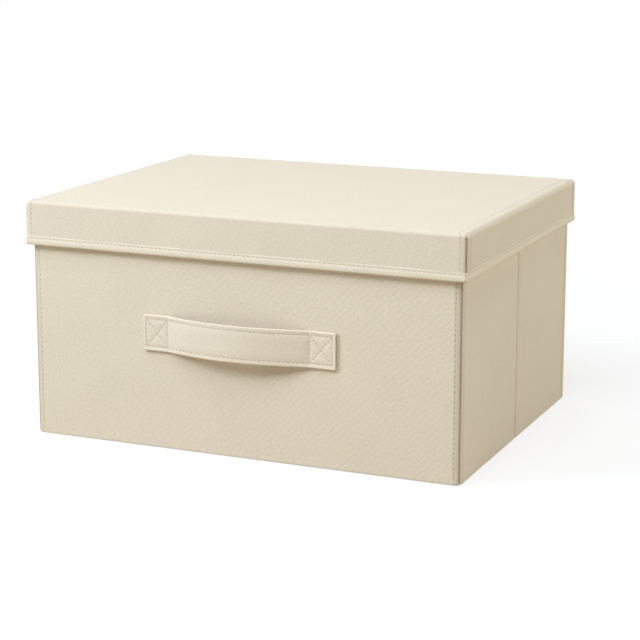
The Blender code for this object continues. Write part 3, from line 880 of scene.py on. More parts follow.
class StrapLine:
    """The strap's back face by the length along it."""

    def __init__(self):
        free_half = STRAP_HALF - STRAP_TAB
        x = np.linspace(-STRAP_HALF, STRAP_HALF, 721)
        skewed = np.clip((x + free_half) / (2 * free_half), 0, 1) ** STRAP_SKEW_SHARE
        fullness = np.where(skewed < 0.5, STRAP_LEFT_FULLNESS_SHARE, 1)
        self.route = np.stack((x, STRAP_BOW * np.maximum(np.sin(pi * skewed), 0) ** fullness), -1)
        self.lengths = lengths_along(self.route)
        self.length = self.lengths[-1]

    def place(self, along, up, lift):
        """Points at lengths along, heights up over the centre line and lifts off the strap's back face."""
        here, ahead, behind = [at_lengths(along + step, self.lengths, self.route)
                               for step in (0, STRAP_SLOPE_STEP, -STRAP_SLOPE_STEP)]
        slope = (ahead - behind) / np.linalg.norm(ahead - behind, axis=-1, keepdims=True)
        off = STRAP_HIGH.y - here[..., 1] - slope[..., 0] * lift
        return here[..., 0] - slope[..., 1] * lift, off, STRAP_CENTRE + up


def segment_distance(across, up, start, end):
    """Distance of points from a straight piece of seam, and the length along it."""
    start, end = np.array(start), np.array(end)
    length = np.linalg.norm(end - start)
    direction = (end - start) / length
    along = (across - start[0]) * direction[0] + (up - start[1]) * direction[1]
    held = np.clip(along, 0, length)
    return np.hypot(across - start[0] - held * direction[0], up - start[1] - held * direction[1]), along


def strap_seams(length):
    """The strap's sewn lines in (length along, height): the long edges and a crossed square at each end."""
    high, outer, inner = STRAP_SEAM_HEIGHT, STRAP_END_INSET, STRAP_BOX_END
    seams = [((inner, sign * high), (length - inner, sign * high), STRAP_PITCH) for sign in (-1, 1)]
    for near, far in ((outer, inner), (length - inner, length - outer)):
        corners = [(near, -high), (far, -high), (far, high), (near, high)]
        sides = list(zip(corners, corners[1:] + corners[:1]))
        sides += [(corners[0], corners[2]), (corners[1], corners[3])]
        seams += [(start, end, BOX_PITCH) for start, end in sides]
    return seams


def add_strap():
    """The handle: a folded strap with proud edges, sewn down at both ends and bowed out between."""
    line = StrapLine()
    seams = strap_seams(line.length)
    half = STRAP_HALF_WIDTH

    def from_ends(along):
        return np.minimum(along, line.length - along)

    def from_edge(along, up):
        return np.minimum(half - np.abs(up), from_ends(along))

    def loose(along):
        return smooth((from_ends(along) - STRAP_TAB) / STRAP_LOOSE_REACH)

    def outer(along, up):
        edge = from_edge(along, up)
        raised = STRAP_BEAD_RAISE * (1 - 0.75 * loose(along))
        bead = raised * groove(edge - STRAP_BEAD / 2, STRAP_BEAD * 0.62)
        sewn = np.zeros(along.shape)
        nearest = np.full(along.shape, STRAP_HALF)
        for start, end, pitch in seams:
            distance, at = segment_distance(along, up, start, end)
            sewn = np.maximum(sewn, seam_depth(distance, at, pitch))
            nearest = np.minimum(nearest, distance)
        inside = smooth((edge - STRAP_BEAD) / STRAP_PILLOW_EASE)
        pillow = STRAP_PILLOW * (1 - groove(nearest, STRAP_PILLOW_WIDTH)) * inside
        depth = edge_round(STRAP_ROUND, half - np.abs(up), from_ends(along)) - bead
        return depth + sewn - pillow + waviness(along, up, *STRAP_WAVES, 5)

    def inner(along, up):
        return STRAP_THICKNESS - edge_round(STRAP_ROUND, half - np.abs(up), along, line.length - along)

    # Painted light: a highlight along the proud edges, weaker on the loose part, and shade in the sewn lines
    def tone(along, up):
        bead = groove(from_edge(along, up) - STRAP_BEAD / 2, STRAP_BEAD * 0.7)
        shade = (0.16 - 0.08 * loose(along)) * bead
        sewn = np.zeros(along.shape)
        for start, end, pitch in seams:
            sewn = np.maximum(sewn, groove(segment_distance(along, up, start, end)[0], LINE_SHADE_WIDTH))
        return shade * (1 - sewn) - 0.08 * sewn

    def place(along, up, depth):
        return line.place(along, up, STRAP_THICKNESS - depth)

    insets = [0, STRAP_END_INSET, STRAP_BOX_END]
    columns = graded(insets + [line.length - inset for inset in reversed(insets)], *STRAP_COLUMNS)
    rows = graded([-half, -STRAP_SEAM_HEIGHT, STRAP_SEAM_HEIGHT, half], *STRAP_ROWS)
    piece = shell("handle_strap_fabric", columns, rows, place, outer, inner, STRAP_FELT, tone)
    settle(piece, "strap_fabric", "front_wall", "handle_strap")
    runs = []
    for start, end, pitch in seams:
        along, up = np.linspace(start, end, 90).T
        route = spread(*place(along, up, GROOVE / 2))
        runs.append((route, spread(*place(along, up, GROOVE / 2 - MM)) - route, pitch))
    thread = stitches("handle_strap_stitches", runs, THREAD, gap_share=0.42, width=STRAP_THREAD_WIDTH)
    settle(thread, "strap_fabric", "front_wall")


# Lid

SIDES = {
    "front": (Vector((-1, -1)), Vector((1, 0)), Vector((0, 1))),
    "right": (Vector((1, -1)), Vector((0, 1)), Vector((-1, 0))),
    "back": (Vector((1, 1)), Vector((-1, 0)), Vector((0, -1))),
    "left": (Vector((-1, 1)), Vector((0, -1)), Vector((1, 0))),
}
Roll = namedtuple("Roll", "tilt inset down")


class LidRow:
    """One ring round the lid: how far it has dropped, and how it lies on the rolls and at the slits."""

    def __init__(self, drop):
        self.drop = drop
        self.opened = {sign: smooth((drop - SLIT_START[sign]) / SLIT_RAMP) for sign in (-1, 1)}
        self.front = self.roll(LID_FRONT_ROLL)
        self.side = self.roll(LID_SIDE_ROLL)
        rounded = LID_CORNER * sin((self.front.tilt + self.side.tilt) / 2)
        self.radius = {sign: rounded + (LID_SLIT_CORNER - rounded) * self.opened[sign] for sign in (-1, 1)}

    def roll(self, radius):
        """The tilt of the surface, its inset and the length down it, for a roll of this radius."""
        if self.drop >= radius:
            return Roll(pi / 2, 0.0, radius * pi / 2 + self.drop - radius)
        tilt = acos(1 - self.drop / radius)
        return Roll(tilt, radius * (1 - sin(tilt)), radius * tilt)


def lid_rows(base):
    """The rings from the lid's flat top down to its hem."""
    steps = 16
    drops = [LID_SIDE_ROLL * (1 - cos(pi / 2 * step / steps)) for step in range(steps + 1)]
    straight = max(drops[-1], SLIT_START[-1] + SLIT_RAMP) + LID_ROW_STEP
    drops += list(np.arange(drops[-1] + LID_ROW_STEP, straight, LID_ROW_STEP)) + [straight]
    count = ceil((LID_TOP - straight - base) / (PITCH / 4))
    drops += list(np.linspace(straight, LID_TOP - base, count + 1)[1:])
    return [LidRow(float(drop)) for drop in drops]


def corner_point(near, row, own_inset, other_inset, sign=1, gap=0.0):
    """A ring's point near a corner: the distance along the side, the depth below its face, and its turn."""
    radius, opened = row.radius[sign], row.opened[sign]
    arc = pi / 4 * radius
    reached = near / LID_REACH * (arc + LID_REACH - other_inset - radius)
    along, depth, turn = other_inset + radius + reached - arc, own_inset, 0.0
    if near >= LID_REACH:
        along = near
    elif reached < arc:
        turn = pi / 4 * (1 - reached / arc)
        along = other_inset + radius * (1 - sin(turn))
        depth = own_inset + radius * (1 - cos(turn))
    if opened > 0 and near < SLIT_LIP:
        lip_depth = SLIT_DEPTH * (1 - near / SLIT_LIP) ** 2
        along += (max(near, lip_depth + gap) - along) * opened
        depth += (lip_depth - depth) * opened
    return along, depth, turn


def line_inset(down, sign):
    """How far the lid's sewn line lies from the left or right side, by the length down the front roll."""
    turned = smooth((down + LINE_TURN_START) / LINE_TURN_REACH)
    return TOP_LINE[sign] + (SKIRT_LINE - TOP_LINE[sign]) * turned


def band_depth(distance, line, along):
    """Depth of the raised band between the lid's sewn line and its edge, and of the line itself."""
    raised = BAND_RAISE * smooth((line - BAND_START - distance) / BAND_EASE)
    return seam_depth(distance - line, along) * 0.9 - raised


def band_painted_shading(distance, line):
    """Painted shade in the lid's sewn line and over the band between it and the edge, and a painted highlight
    on the ridge on its other side.
    """
    return seam_painted_shading(distance - line) - 0.05 * smooth((line - distance) / BAND_TONE_EASE)


def lid_columns(length, middle):
    """Grid lines along one side of the lid, close together near its corners."""
    steps = [np.arange(0, SLIT_LIP, LID_NEAR_STEP), np.arange(SLIT_LIP, LID_REACH, LID_CORNER_STEP)]
    near = np.concatenate(steps)
    return np.concatenate((near, middle, length - near[::-1]))


class LidSkin:
    """The lid's outside in patches: a grid on the top, and rings that go round and down."""

    def __init__(self):
        width, depth = 2 * LID_HALF_X, 2 * LID_HALF_Y
        self.across = lid_columns(width, graded([LID_REACH, width - LID_REACH], *LID_TOP_GRID))
        count = ceil((depth - 2 * LID_REACH) / (PITCH / 2))
        self.along = lid_columns(depth, np.linspace(LID_REACH, depth - LID_REACH, count + 1))
        self.rows = lid_rows(HEM_LOW.z + LID_LAP)

    def side_points(self, side, row):
        """One ring's points along one side, with their cloth coordinates and tones."""
        start, direction, inward = SIDES[side]
        flat_side = side in ("front", "back")
        columns = self.across if flat_side else self.along
        own, other = (row.front, row.side) if flat_side else (row.side, row.front)
        corner = Vector((start.x * LID_HALF_X, start.y * LID_HALF_Y))
        points, cloth, tones = [], [], []
        for place in columns:
            near = min(place, columns[-1] - place)
            towards = -1 if place < columns[-1] / 2 else 1
            sign = round(start.x + direction.x * (1 + towards))
            gap = (SLIT_FRONT_GAP if flat_side else SLIT_SIDE_GAP)[sign]
            along, depth, turn = corner_point(near, row, own.inset, other.inset, sign, gap)
            outward = -inward * cos(turn) + direction * (towards * sin(turn))
            run = along if towards < 0 else columns[-1] - along
            flat = corner + direction * run + inward * depth
            tilt = own.tilt + (other.tilt - own.tilt) / 2 * min(turn / (pi / 4), 1)
            relief, tone = self.relief(side, row, flat, along, near)
            normal = Vector((outward.x * sin(tilt), outward.y * sin(tilt), cos(tilt)))
            points.append(Vector((flat.x, flat.y, LID_TOP - row.drop)) - normal * relief)
            cloth.append((run, -own.down, 0))
            tones.append(tone)
        return points, cloth, tones

    def relief(self, side, row, flat, along, near):
        """How far a ring's point lies below the plain surface, and its tone of painted shade and painted
        highlight.
        """
        sign = 1 if flat.x > 0 else -1
        opened = row.opened[sign]
        line = line_inset(row.front.down, sign)
        shared = band_depth(row.side.inset, line, flat.y)
        if side in ("front", "back"):
            own = band_depth(along, line, row.front.down)
            # Painted shade in the sewn line; by a slit, painted shade on the right band and a painted
            # highlight on the left
            tone = band_painted_shading(along, line) * LINE_SHADE_SHARE[sign]
            tone -= SKIRT_BAND_SHADING[sign] * smooth((line - along) / MM) * opened
        else:
            line = line_inset(abs(flat.y) - LID_FLAT_Y, sign)
            distance = LID_SIDE_ROLL - row.side.down
            own = band_depth(distance, line, flat.y) * fading(row.side.tilt, pi / 2)
            dip = END_BORDER_DIP * groove(along - END_BORDER, MM)
            own += (border_depth(along, END_BORDER, END_BORDER_RAISE) + dip) * opened
            # Painted shade in the end border's groove and over the border near the slits
            tone = band_painted_shading(distance, line) - 0.20 * groove(along - END_BORDER, END_SHADE_WIDTH) * opened
            tone -= 0.10 * smooth((END_BORDER - along) / BAND_TONE_EASE) * opened
        # Painted shade in the slit's lips, darker on the right
        lip = 0.85 * fading(near - SLIT_SHADE_START, SLIT_SHADE_REACH) + 0.22 * fading(near, SLIT_LIP)
        tone -= opened * lip * SLIT_SHADE_SHARE[sign]
        wave = waviness(flat.x + flat.y, LID_TOP - row.drop, *SKIRT_WAVES, 21)
        wave = wave * smooth(near / SKIRT_WAVE_FADE) * smooth(row.drop / SKIRT_WAVE_DROP)
        cornered = fading(near, CORNER_SHARE_REACH) * (1 - opened)
        return float(own + (shared - own) * cornered + wave), tone

    def side_patch(self, side):
        """One side's rings as a patch."""
        rings = [self.side_points(side, row) for row in self.rows]
        points, cloth, tones = [sum(parts, []) for parts in zip(*rings)]
        return points, cloth, tones, grid_faces(len(rings), len(points) // len(rings), turned=True)

    def top_lines(self, columns, half, own_inset, other_inset):
        """Grid lines of the flat top in one direction, in step with the first ring."""
        lines = []
        for place in columns:
            near = min(place, 2 * half - place)
            inside = half - corner_point(near, self.rows[0], own_inset, other_inset)[0]
            lines.append(-inside if place < half else inside)
        return lines

    def top_patch(self):
        """The flat top's grid, whose border is the first ring's."""
        xs = self.top_lines(self.across, LID_HALF_X, LID_FRONT_ROLL, LID_SIDE_ROLL)
        ys = self.top_lines(self.along, LID_HALF_Y, LID_SIDE_ROLL, LID_FRONT_ROLL)
        x, y = np.meshgrid(xs, ys)
        from_side = LID_HALF_X - np.abs(x)
        down = np.abs(y) - LID_FLAT_Y
        line = np.where(x > 0, line_inset(down, 1), line_inset(down, -1))
        inside = np.minimum(from_side, LID_HALF_Y - np.abs(y)) - LID_SIDE_ROLL
        wave = waviness(x, y, *TOP_WAVES, 22) * smooth(inside / TOP_WAVE_FADE)
        points = spread(x, y, LID_TOP - band_depth(from_side, line, y) - wave)
        cloth = spread(x + LID_HALF_X, y + LID_FLAT_Y, 0)
        return points, cloth, band_painted_shading(from_side, line).ravel(), grid_faces(len(ys), len(xs))


def join_patches(name, patches, material, thickness):
    """Patches of points, cloth coordinates, tones and faces, merged where they meet and made thick."""
    firsts = np.cumsum([0] + [len(patch[0]) for patch in patches]).tolist()
    faces = [tuple(first + corner for corner in face)
             for first, patch in zip(firsts, patches) for face in patch[3]]
    points, cloth, tones = [np.concatenate([patch[part] for patch in patches]) for part in range(3)]
    piece = make_piece(name, points, faces, cloth, tones, material, False)
    shape = bmesh.new()
    shape.from_mesh(piece.data)
    bmesh.ops.remove_doubles(shape, verts=shape.verts, dist=MERGE)
    shape.to_mesh(piece.data)
    shape.free()
    thick = piece.modifiers.new("thickness", "SOLIDIFY")
    thick.thickness = thickness
    thick.offset = -1
    bpy.context.view_layer.update()
    thickened = piece.evaluated_get(bpy.context.evaluated_depsgraph_get())
    piece.data = bpy.data.meshes.new_from_object(thickened)
    piece.modifiers.clear()
    piece.data.shade_smooth()
    piece.data.set_sharp_from_angle(angle=SHARP_ANGLE)
    return piece


def line_station(sign, y, height, out, up, down):
    """A point of the lid's sewn line and its normal, on the top, on the side's roll or on a skirt."""
    inset = line_inset(down, sign)
    sideways, turned_up = 0.0, up
    if up > 0 and inset < LID_SIDE_ROLL:
        tilt = asin(1 - inset / LID_SIDE_ROLL)
        height -= LID_SIDE_ROLL * (1 - cos(tilt)) * up
        sideways, turned_up = sign * sin(tilt) * up, up * cos(tilt)
    return (sign * (LID_HALF_X - inset), y, height), (sideways, out, turned_up)


def lid_line_run(sign):
    """The lid's sewn line on one side, from the front skirt over the top to the back skirt."""
    roll_base = LID_TOP - LID_FRONT_ROLL
    stations = []
    for height in np.linspace(HEM_HIGH.z + LINE_CLEARANCE, roll_base, 14)[:-1]:
        stations.append((-LID_HALF_Y, height, -1.0, 0.0, LID_FRONT_ROLL * pi / 2 + roll_base - height))
    for turn in np.linspace(pi / 2, 0, 7):
        stations.append((-LID_FLAT_Y - LID_FRONT_ROLL * sin(turn), roll_base + LID_FRONT_ROLL * cos(turn),
                         -sin(turn), cos(turn), LID_FRONT_ROLL * turn))
    stations += [(y, LID_TOP, 0.0, 1.0, -(y + LID_FLAT_Y)) for y in np.linspace(-LID_FLAT_Y, 0, 120)[1:]]
    stations += [(-y, height, -out, up, down) for y, height, out, up, down in reversed(stations[:-1])]
    placed = [line_station(sign, *station) for station in stations]
    route, normals = [np.array(parts) for parts in zip(*placed)]
    return route - normals * (GROOVE * 0.5), normals, PITCH


def add_slit_seam(name, sign_x, sign_y):
    """The rolled seam that shows in one slit of the lid's skirt, coloured a dark brown that is painted shade.
    """
    turns = np.arange(8) * pi / 4
    centre_x = sign_x * (LID_HALF_X - SLIT_SEAM_INSET)
    centre_y = sign_y * (LID_HALF_Y - SLIT_SEAM_INSET)
    heights = np.arange(HEM_LOW.z + SLIT_SEAM_LAP, LID_TOP - SLIT_START[sign_x] - SLIT_RAMP / 2, PITCH / 6)
    loops, cloth = [], []
    for number, height in enumerate(heights):
        swell = SLIT_SEAM_RADIUS * (1 + 0.15 * cos(2 * pi * number / 6))
        loops.append(spread(centre_x + swell * np.cos(turns), centre_y + swell * np.sin(turns), height))
        cloth.append(spread(SLIT_SEAM_RADIUS * turns, height, 0))
    # The tone paints the seam dark brown as shade in the slit
    settle(sweep(name, loops, CREAM, cloth, tone=-0.8), "cream_fabric", "lid")


def add_lid_cloth():
    """The lid's cloth: one sheet over the top and down its skirt, slit at the corners, and its sewing."""
    skin = LidSkin()
    patches = [skin.top_patch()] + [skin.side_patch(side) for side in SIDES]
    piece = join_patches("lid_fabric", patches, CREAM, LID_CLOTH)
    settle(piece, "cream_fabric", "lid", "lid_top_cover", "lid_right_end_cover", "lid_left_end_cover")
    for sign, side in ((-1, "left"), (1, "right")):
        thread = stitches("lid_" + side + "_stitches", [lid_line_run(sign)], THREAD, width=LINE_WIDTH[sign])
        settle(thread, "cream_fabric", "lid")
    for sign_x, side in ((1, "right"), (-1, "left")):
        for sign_y, end in ((-1, "front"), (1, "back")):
            add_slit_seam("lid_" + end + "_" + side + "_seam", sign_x, sign_y)


# Hem tape

def hem_profile():
    """The hem tape's section as (out from the skirt's face, height)."""
    out = HEM_HIGH.x - LID_HALF_X
    skirt = LID_HALF_X - LINING_HIGH.x + HEM_SKIRT_GAP
    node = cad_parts["lid_hem_binding"]
    inner = min(vert.co.x for vert in node.data.vertices if vert.co.x > 0) - LID_HALF_X
    top, base = HEM_HIGH.z, HEM_LOW.z
    profile = [(place * MM, top - drop * MM) for place, drop in HEM_TUCK]
    profile += [(out * share, top - drop * MM) for share, drop in HEM_LIP_SHARES]
    quarter = np.linspace(0, pi / 2, 5)
    for side, bend, turns in ((out, -HEM_TURN, quarter), (inner, HEM_TURN, quarter[::-1])):
        for turn in turns:
            profile.append((side + bend * (1 - cos(turn)), base + HEM_TURN * (1 - sin(turn))))
    profile += [(inner, base + HEM_BACK_LAP), (inner, HEM_LINE)]
    for start, (place, drop) in [(inner, point) for point in HEM_BACK_TOP] + [(-skirt, HEM_SKIRT_TOP)]:
        profile.append((start + place * MM, top - drop * MM))
    return profile + [(-skirt, base + HEM_BASE_LAP), (0.0, base + HEM_BASE_LAP)]


def hem_stations():
    """Round the hem: the side, its length, the place along it, or None and the corner's turn, and the run."""
    run = 0.0
    for side in SIDES:
        length = 2 * (LID_HALF_X if side in ("front", "back") else LID_HALF_Y)
        straight = length - 2 * HEM_STRAIGHT_GAP
        count = ceil(straight / (PITCH / 3))
        for at in np.linspace(HEM_STRAIGHT_GAP, length - HEM_STRAIGHT_GAP, count + 1):
            run += straight / count
            yield side, length, at, None, run
        for step in range(HEM_CORNER_STEPS):
            run += HEM_STRAIGHT_GAP / HEM_CORNER_STEPS
            yield side, length, None, pi / 2 * (step + 0.5) / HEM_CORNER_STEPS, run


def hem_place(side, length, at, turn, out):
    """A point of the hem this far out from the skirt's face, and the way that it faces."""
    start, direction, inward = SIDES[side]
    corner = Vector((start.x * LID_HALF_X, start.y * LID_HALF_Y))
    if turn is None:
        return corner + direction * at - inward * out, -inward
    radius = max(HEM_CORNER + out, 0.0)
    facing = direction * sin(turn) - inward * cos(turn)
    return corner + direction * (length + out - radius) - inward * (out - radius) + facing * radius, facing


def add_hem():
    """The tape folded round the skirt's lower edge, topstitched, on all four sides."""
    profile = hem_profile()
    around = lengths_along(profile)
    # Painted shade along the hem's sewn line
    shades = [-0.08 * groove(height - HEM_LINE, LINE_SHADE_WIDTH) * (out > HEM_LINE_START)
              for out, height in profile]
    loops, cloth, tones, route, normals = [], [], [], [], []
    for side, length, at, turn, run in hem_stations():
        pucker = 0.5 + 0.5 * cos(2 * pi * run / PITCH)
        drift = sum(height * sin(run / reach + phase) for height, reach, phase in HEM_DRIFTS)
        loop = []
        for out, height in profile:
            lifted = drift * 0.5 if height > HEM_HIGH.z - MM else 0
            if out > HEM_SWELL_START and height < HEM_HIGH.z - HEM_LIP_START:
                out += drift - HEM_PUCKER * pucker * float(groove(height - HEM_LINE, HEM_PUCKER_WIDTH))
            loop.append((*hem_place(side, length, at, turn, out)[0], height + lifted))
        loops.append(loop)
        cloth.append([(run, distance, 0) for distance in around])
        tones += shades
        out = profile[HEM_LINE_POINT][0] - HEM_THREAD_SINK + drift
        flat, facing = hem_place(side, length, at, turn, out)
        route.append((*flat, HEM_LINE))
        normals.append((*facing, 0))
    piece = sweep("lid_hem_tape", loops, HEM_TAPE, cloth, True, tones)
    settle(piece, "hem_fabric", "lid", "lid_hem_binding")
    thread = stitches("lid_hem_stitches", [(route + route[:1], normals + normals[:1], PITCH)], THREAD)
    settle(thread, "hem_fabric", "lid")


def add_lid_lining():
    """The thin cloth inside the lid: one sheet over the top board and down the skirt."""
    half_x, half_y, top = LINING_HIGH
    radius = LINING_RADIUS
    turns = np.linspace(0, pi / 2, 6)
    rows = [(radius * (1 - sin(turn)), top - radius * (1 - cos(turn))) for turn in turns]
    rows += [(0.0, height) for height in np.linspace(top - radius, LINING_LOW.z, 10)[1:]]
    columns_x = graded([radius - half_x, half_x - radius], *LINING_GRID)
    columns_y = graded([radius - half_y, half_y - radius], *LINING_GRID)
    x, y = np.meshgrid(columns_x, columns_y)
    sag = waviness(x, y, *LINING_WAVES, 41) * smooth((half_x - np.abs(x)) / SAG_FADE)
    sag = np.abs(sag * smooth((half_y - np.abs(y)) / SAG_FADE))
    patches = [(spread(x, y, top - sag), spread(x, y, 0), np.zeros(x.size), grid_faces(*x.shape))]
    for side, (start, direction, inward) in SIDES.items():
        columns, end_half, out_half = columns_y, half_y, half_x
        if side in ("front", "back"):
            columns, end_half, out_half = columns_x, half_x, half_y
        points, cloth = [], []
        for inset, height in rows:
            for place in columns * ((end_half - inset) / (end_half - radius)):
                points.append((*(direction * place - inward * (out_half - inset)), height))
            cloth += [(place, height, 0) for place in columns]
        faces = grid_faces(len(rows), len(columns), turned=True)
        patches.append((points, cloth, np.zeros(len(points)), faces))
    piece = join_patches("lid_lining_fabric", patches, LINING, LINING_CLOTH)
    settle(piece, "lining_fabric", "lid", "lid_lining")


# Bottom panel and zip

def add_bottom():
    """The bottom panel's cloth: thick over its board, and a thin flange out to the walls over the zip."""
    half_x = HALF_WIDTH - FLAP - PANEL_GAP
    front, back, top = FRONT_FACE + FLAP + PANEL_GAP, BOTTOM_HIGH.y - PANEL_BACK_GAP, BOTTOM_HIGH.z
    core_x, core_front = HALF_WIDTH - PANEL_RIM, FRONT_FACE + PANEL_RIM

    def core_distance(across, along):
        return np.minimum(core_x - np.abs(across), along - core_front)

    def lower(across, along):
        inside = core_distance(across, along)
        drop = top - edge_round(PANEL_ROUND, np.maximum(inside, 0), back - along)
        return np.where(inside < -PANEL_STEP / 2, PANEL_FLANGE, drop)

    def upper(across, along):
        sides = np.minimum(half_x - np.abs(across), along - front)
        wave = waviness(across, along, *PANEL_WAVES, 51) * smooth(core_distance(across, along) / SAG_FADE)
        return edge_round(FLANGE_ROUND, sides, back - along) + wave + PANEL_SINK

    def place(across, along, depth):
        return across, along, top - depth

    step_x = core_x + PANEL_STEP
    columns = graded([-half_x, -step_x, -core_x, core_x, step_x, half_x], *PANEL_GRID)
    rows = graded([front, core_front - PANEL_STEP, core_front, back], *PANEL_GRID)
    piece = shell("bottom_panel_fabric", columns, rows, place, upper, lower, CREAM)
    settle(piece, "cream_fabric", "bottom_panel", "bottom_cover")


def add_rear_tape():
    """The cloth hinge round the rear lower edge, from the back wall to the bottom panel's underside."""
    face = BACK_FACE + HINGE_PROUD
    section = [(face, WALL_BASE + HINGE_RISE), (face + HINGE_BULGE, WALL_BASE)]
    section += [(face - inset * MM, height * MM) for inset, height in HINGE_SECTION]
    quarters = np.arange(4 * len(section) - 3) / 4
    dense = at_lengths(quarters, np.arange(len(section)), section)
    last = len(dense) - 1
    outline = []
    for number, (y, z) in enumerate(dense):
        slope = Vector(dense[min(number + 1, last)] - dense[max(number - 1, 0)]).normalized()
        outline.append((y + slope.y * HINGE_TAPE, z - slope.x * HINGE_TAPE))
    loop = [tuple(point) for point in dense] + outline[::-1]
    lengths = np.linspace(-HALF_WIDTH + HINGE_END_GAP, HALF_WIDTH - HINGE_END_GAP, 60)
    loops = [[(x, y, max(z, 0.0)) for y, z in loop] for x in lengths]
    piece = sweep("rear_hinge_tape", loops, CREAM, [[(x, y, z) for y, z in loop] for x in lengths])
    settle(piece, "cream_fabric", None)
    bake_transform(piece)


def zip_route(spacing):
    """Points of the zip's middle line, round from left to right, with their lengths, directions and sides."""
    x, y, turn = HALF_WIDTH - ZIP_INSET, FRONT_FACE + ZIP_INSET, ZIP_TURN
    angles = np.linspace(0, pi / 2, 8)[1:]
    places = [(-x, at) for at in np.linspace(ZIP_START - ZIP_SLIDER_GAP, y + turn, 120)]
    places += [(-x + turn * (1 - cos(a)), y + turn * (1 - sin(a))) for a in angles]
    places += [(at, y) for at in np.linspace(-x + turn, x - turn, 160)[1:]]
    places += [(x - turn * (1 - sin(a)), y + turn * (1 - cos(a))) for a in angles]
    places += [(x, at) for at in np.linspace(y + turn, CHAIN_HIGH.y, 120)[1:]]
    lengths = lengths_along(places)
    at = np.linspace(0, lengths[-1], ceil(lengths[-1] / spacing) + 1)
    route = at_lengths(at, lengths, places)
    along = np.concatenate((route[1:], route[-1:])) - np.concatenate((route[:1], route[:-1]))
    along /= np.linalg.norm(along, axis=1, keepdims=True)
    return route, at, along, np.stack((along[:, 1], -along[:, 0]), -1)


def add_zip():
    """The zip round three edges of the bottom: woven tape and a coil of short bars across its middle."""
    half, thin, edge = ZIP_TAPE_HALF, ZIP_TAPE, ZIP_TAPE_HALF - ZIP_TAPE_EDGE
    woven = -thin * 0.8
    section = ((-half, 0), (-half, -thin), (-edge, woven), (0, -thin), (edge, woven), (half, -thin), (half, 0))
    route, lengths, along, side = zip_route(ZIP_TAPE_STEP)
    loops = [[(*(here + across * out), CHAIN_HIGH.z + lift) for out, lift in section]
             for here, across in zip(route, side)]
    cloth = [[(at, out, lift) for out, lift in section] for at in lengths]
    settle(sweep("zip_tape", loops, HEM_TAPE, cloth), "zip_plastic", "bottom_panel")
    bars, lengths, along, side = zip_route(ZIP_PITCH)
    runs = []
    for number in range(1, len(bars) - 1):
        lean = ZIP_BAR_LEAN if number % 2 else -ZIP_BAR_LEAN
        reach = side[number] * ZIP_BAR_HALF + along[number] * lean
        ends = [(*(bars[number] + sign * reach), ZIP_BAR_HEIGHT) for sign in (-1, 1)]
        runs.append((ends, [(0, 0, -1), (0, 0, -1)], 1.0))
    coil = stitches("zip_coil", runs, ZIP_PLASTIC, 0.0, 0.02)
    settle(coil, "zip_plastic", "bottom_panel", "zip_chain")


def dress_frame_nodes():
    """The boards, slider and pull keep their own shapes, with softened edges on the metal."""
    for name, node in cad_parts.items():
        metal = name in ("zip_slider", "zip_pull")
        if metal or name.endswith("_board"):
            node.data.materials.clear()
            node.data.materials.append(METAL if metal else CARD)
        if metal:
            soften = node.modifiers.new("soft_edges", "BEVEL")
            soften.width = METAL_EDGE
            soften.segments = 2


# Camera, light and floor

CAMERA_PLACE = (0.69207, -1.58834, 0.4948)
CAMERA_TURNS = (-23.231, 13.145, 0.085)
FOCAL_LENGTH_MM = 108.44
SENSOR_WIDTH_MM = 36
CLIP_END = 60.0
FLOOR_HALF = 30.0
FLOOR_DROP = 0.1 * MM
FLOOR_COLOUR = (0.62, 0.55, 0.45)
SHADOW_COLOUR = (0.98, 0.98, 0.98)
SHADOW_REACH = (0.3, 0.8)
SHADOW_LOWEST_SHARE = 0.72
LAMP_TARGET = Vector((0, 0, 0.1))
LAMPS = (
    ("key", (-1.75, -1.45, 1.55), 0.8, 53.2, (0.743, 0.870, 1.0)),
    ("overhead", (0.1, -1.2, 2.2), 1.4, 39.8, (0.846, 0.927, 1.0)),
    ("right_fill", (1.95, 0.55, 1.0), 1.4, 22.3, (0.915, 0.980, 1.0)),
    ("left_fill", (-1.4, 1.8, 1.3), 1.4, 14.0, (0.85, 0.93, 1.0)),
)
WORLD_COLOUR = (1.0, 0.66, 0.36)
WORLD_STRENGTH = 0.13
WHITE = (1, 1, 1)


def add_camera():
    """The photograph's viewpoint, from a fit to the box's outline."""
    yaw, pitch, roll = [radians(turn) for turn in CAMERA_TURNS]
    view = Vector((sin(yaw) * cos(pitch), cos(yaw) * cos(pitch), -sin(pitch)))
    level = Vector((cos(yaw), -sin(yaw), 0))
    above = level.cross(view)
    right = level * cos(roll) + above * sin(roll)
    up = above * cos(roll) - level * sin(roll)
    camera = bpy.data.objects.new("camera", bpy.data.cameras.new("camera"))
    camera.data.sensor_width = SENSOR_WIDTH_MM
    camera.data.lens = FOCAL_LENGTH_MM
    camera.data.clip_end = CLIP_END
    camera.matrix_world = Matrix((right, up, -view)).transposed().to_4x4()
    camera.location = CAMERA_PLACE
    bpy.context.scene.collection.objects.link(camera)
    bpy.context.scene.camera = camera


def add_area_light(name, place, size, energy, colour):
    """A soft box lamp at a place, turned to the box."""
    lamp = bpy.data.lights.new(name, "AREA")
    lamp.shape = "SQUARE"
    lamp.size = size
    lamp.energy = energy
    lamp.color = colour
    holder = bpy.data.objects.new(name, lamp)
    holder.location = place
    holder.rotation_euler = (LAMP_TARGET - Vector(place)).to_track_quat("-Z", "Y").to_euler()
    bpy.context.scene.collection.objects.link(holder)


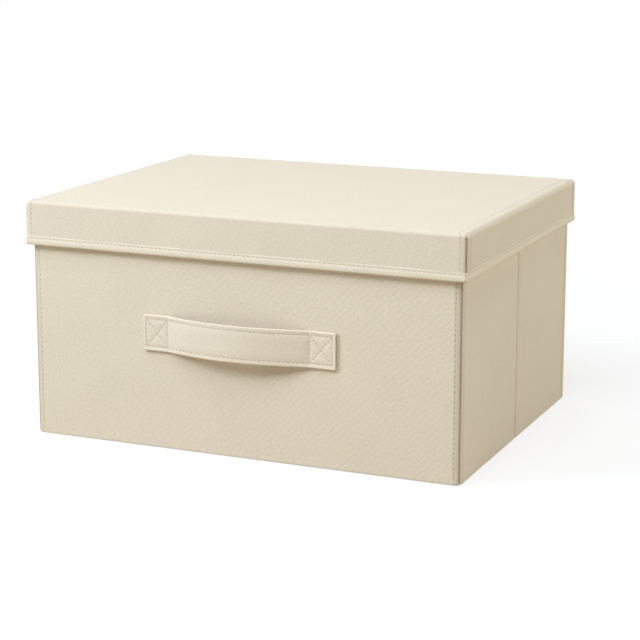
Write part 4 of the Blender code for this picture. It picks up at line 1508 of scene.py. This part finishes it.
def show_instead(tree, lit, seen, output):
    """One shader for light's sake, and another that the camera, mirrors and glass see."""
    rays = add_node(tree, "LightPath").outputs
    seen_by = calculate(tree, "MAXIMUM", rays["Is Camera Ray"], rays["Is Glossy Ray"])
    seen_by = calculate(tree, "MAXIMUM", seen_by, rays["Is Transmission Ray"])
    mix = add_node(tree, "MixShader", {"Fac": seen_by, 1: lit.outputs[0], 2: seen.outputs[0]})
    feed(tree, tree.nodes[output].inputs["Surface"], mix.outputs[0])


def add_world():
    """Even pale light from all round, which the camera sees as white."""
    world = bpy.data.worlds.new("studio")
    bpy.context.scene.world = world
    world.use_nodes = True
    tree = world.node_tree
    lit = tree.nodes["Background"]
    feed(tree, lit.inputs["Color"], WORLD_COLOUR)
    feed(tree, lit.inputs["Strength"], WORLD_STRENGTH)
    seen = add_node(tree, "Background", {"Color": WHITE, "Strength": 1.0})
    show_instead(tree, lit, seen, "World Output")


def add_floor():
    """A plain pale floor: white to the camera, with the box's soft shadow on it near the box."""
    mesh = bpy.data.meshes.new("floor")
    corners = [(x * FLOOR_HALF, y * FLOOR_HALF, 0) for x, y in ((-1, -1), (1, -1), (1, 1), (-1, 1))]
    mesh.from_pydata(corners, [], [(0, 1, 2, 3)])
    floor = bpy.data.objects.new("floor", mesh)
    floor.location.z = -FLOOR_DROP
    bpy.context.scene.collection.objects.link(floor)
    material, tree, shader = material_base("floor_white", 1.0, 0.0)
    feed(tree, shader.inputs["Base Color"], FLOOR_COLOUR)
    shadowed = add_node(tree, "BsdfDiffuse", {"Color": SHADOW_COLOUR})
    white = add_node(tree, "Emission", {"Color": WHITE, "Strength": 1.0})
    place = add_node(tree, "TexCoord").outputs["Object"]
    far = add_node(tree, "VectorMath", {0: place}, operation="LENGTH").outputs["Value"]
    share = remapped(tree, far, *SHADOW_REACH, SHADOW_LOWEST_SHARE)
    seen = add_node(tree, "MixShader", {"Fac": share, 1: shadowed.outputs[0], 2: white.outputs[0]})
    show_instead(tree, shader, seen, "Material Output")
    mesh.materials.append(material)


def add_stage():
    """Camera, lamps, world and floor."""
    add_camera()
    for lamp in LAMPS:
        add_area_light(*lamp)
    add_world()
    add_floor()
    bpy.context.scene.view_settings.view_transform = "Standard"


add_stage()
add_walls()
add_strap()
add_lid_cloth()
add_hem()
add_lid_lining()
add_bottom()
add_rear_tape()
add_zip()
dress_frame_nodes()
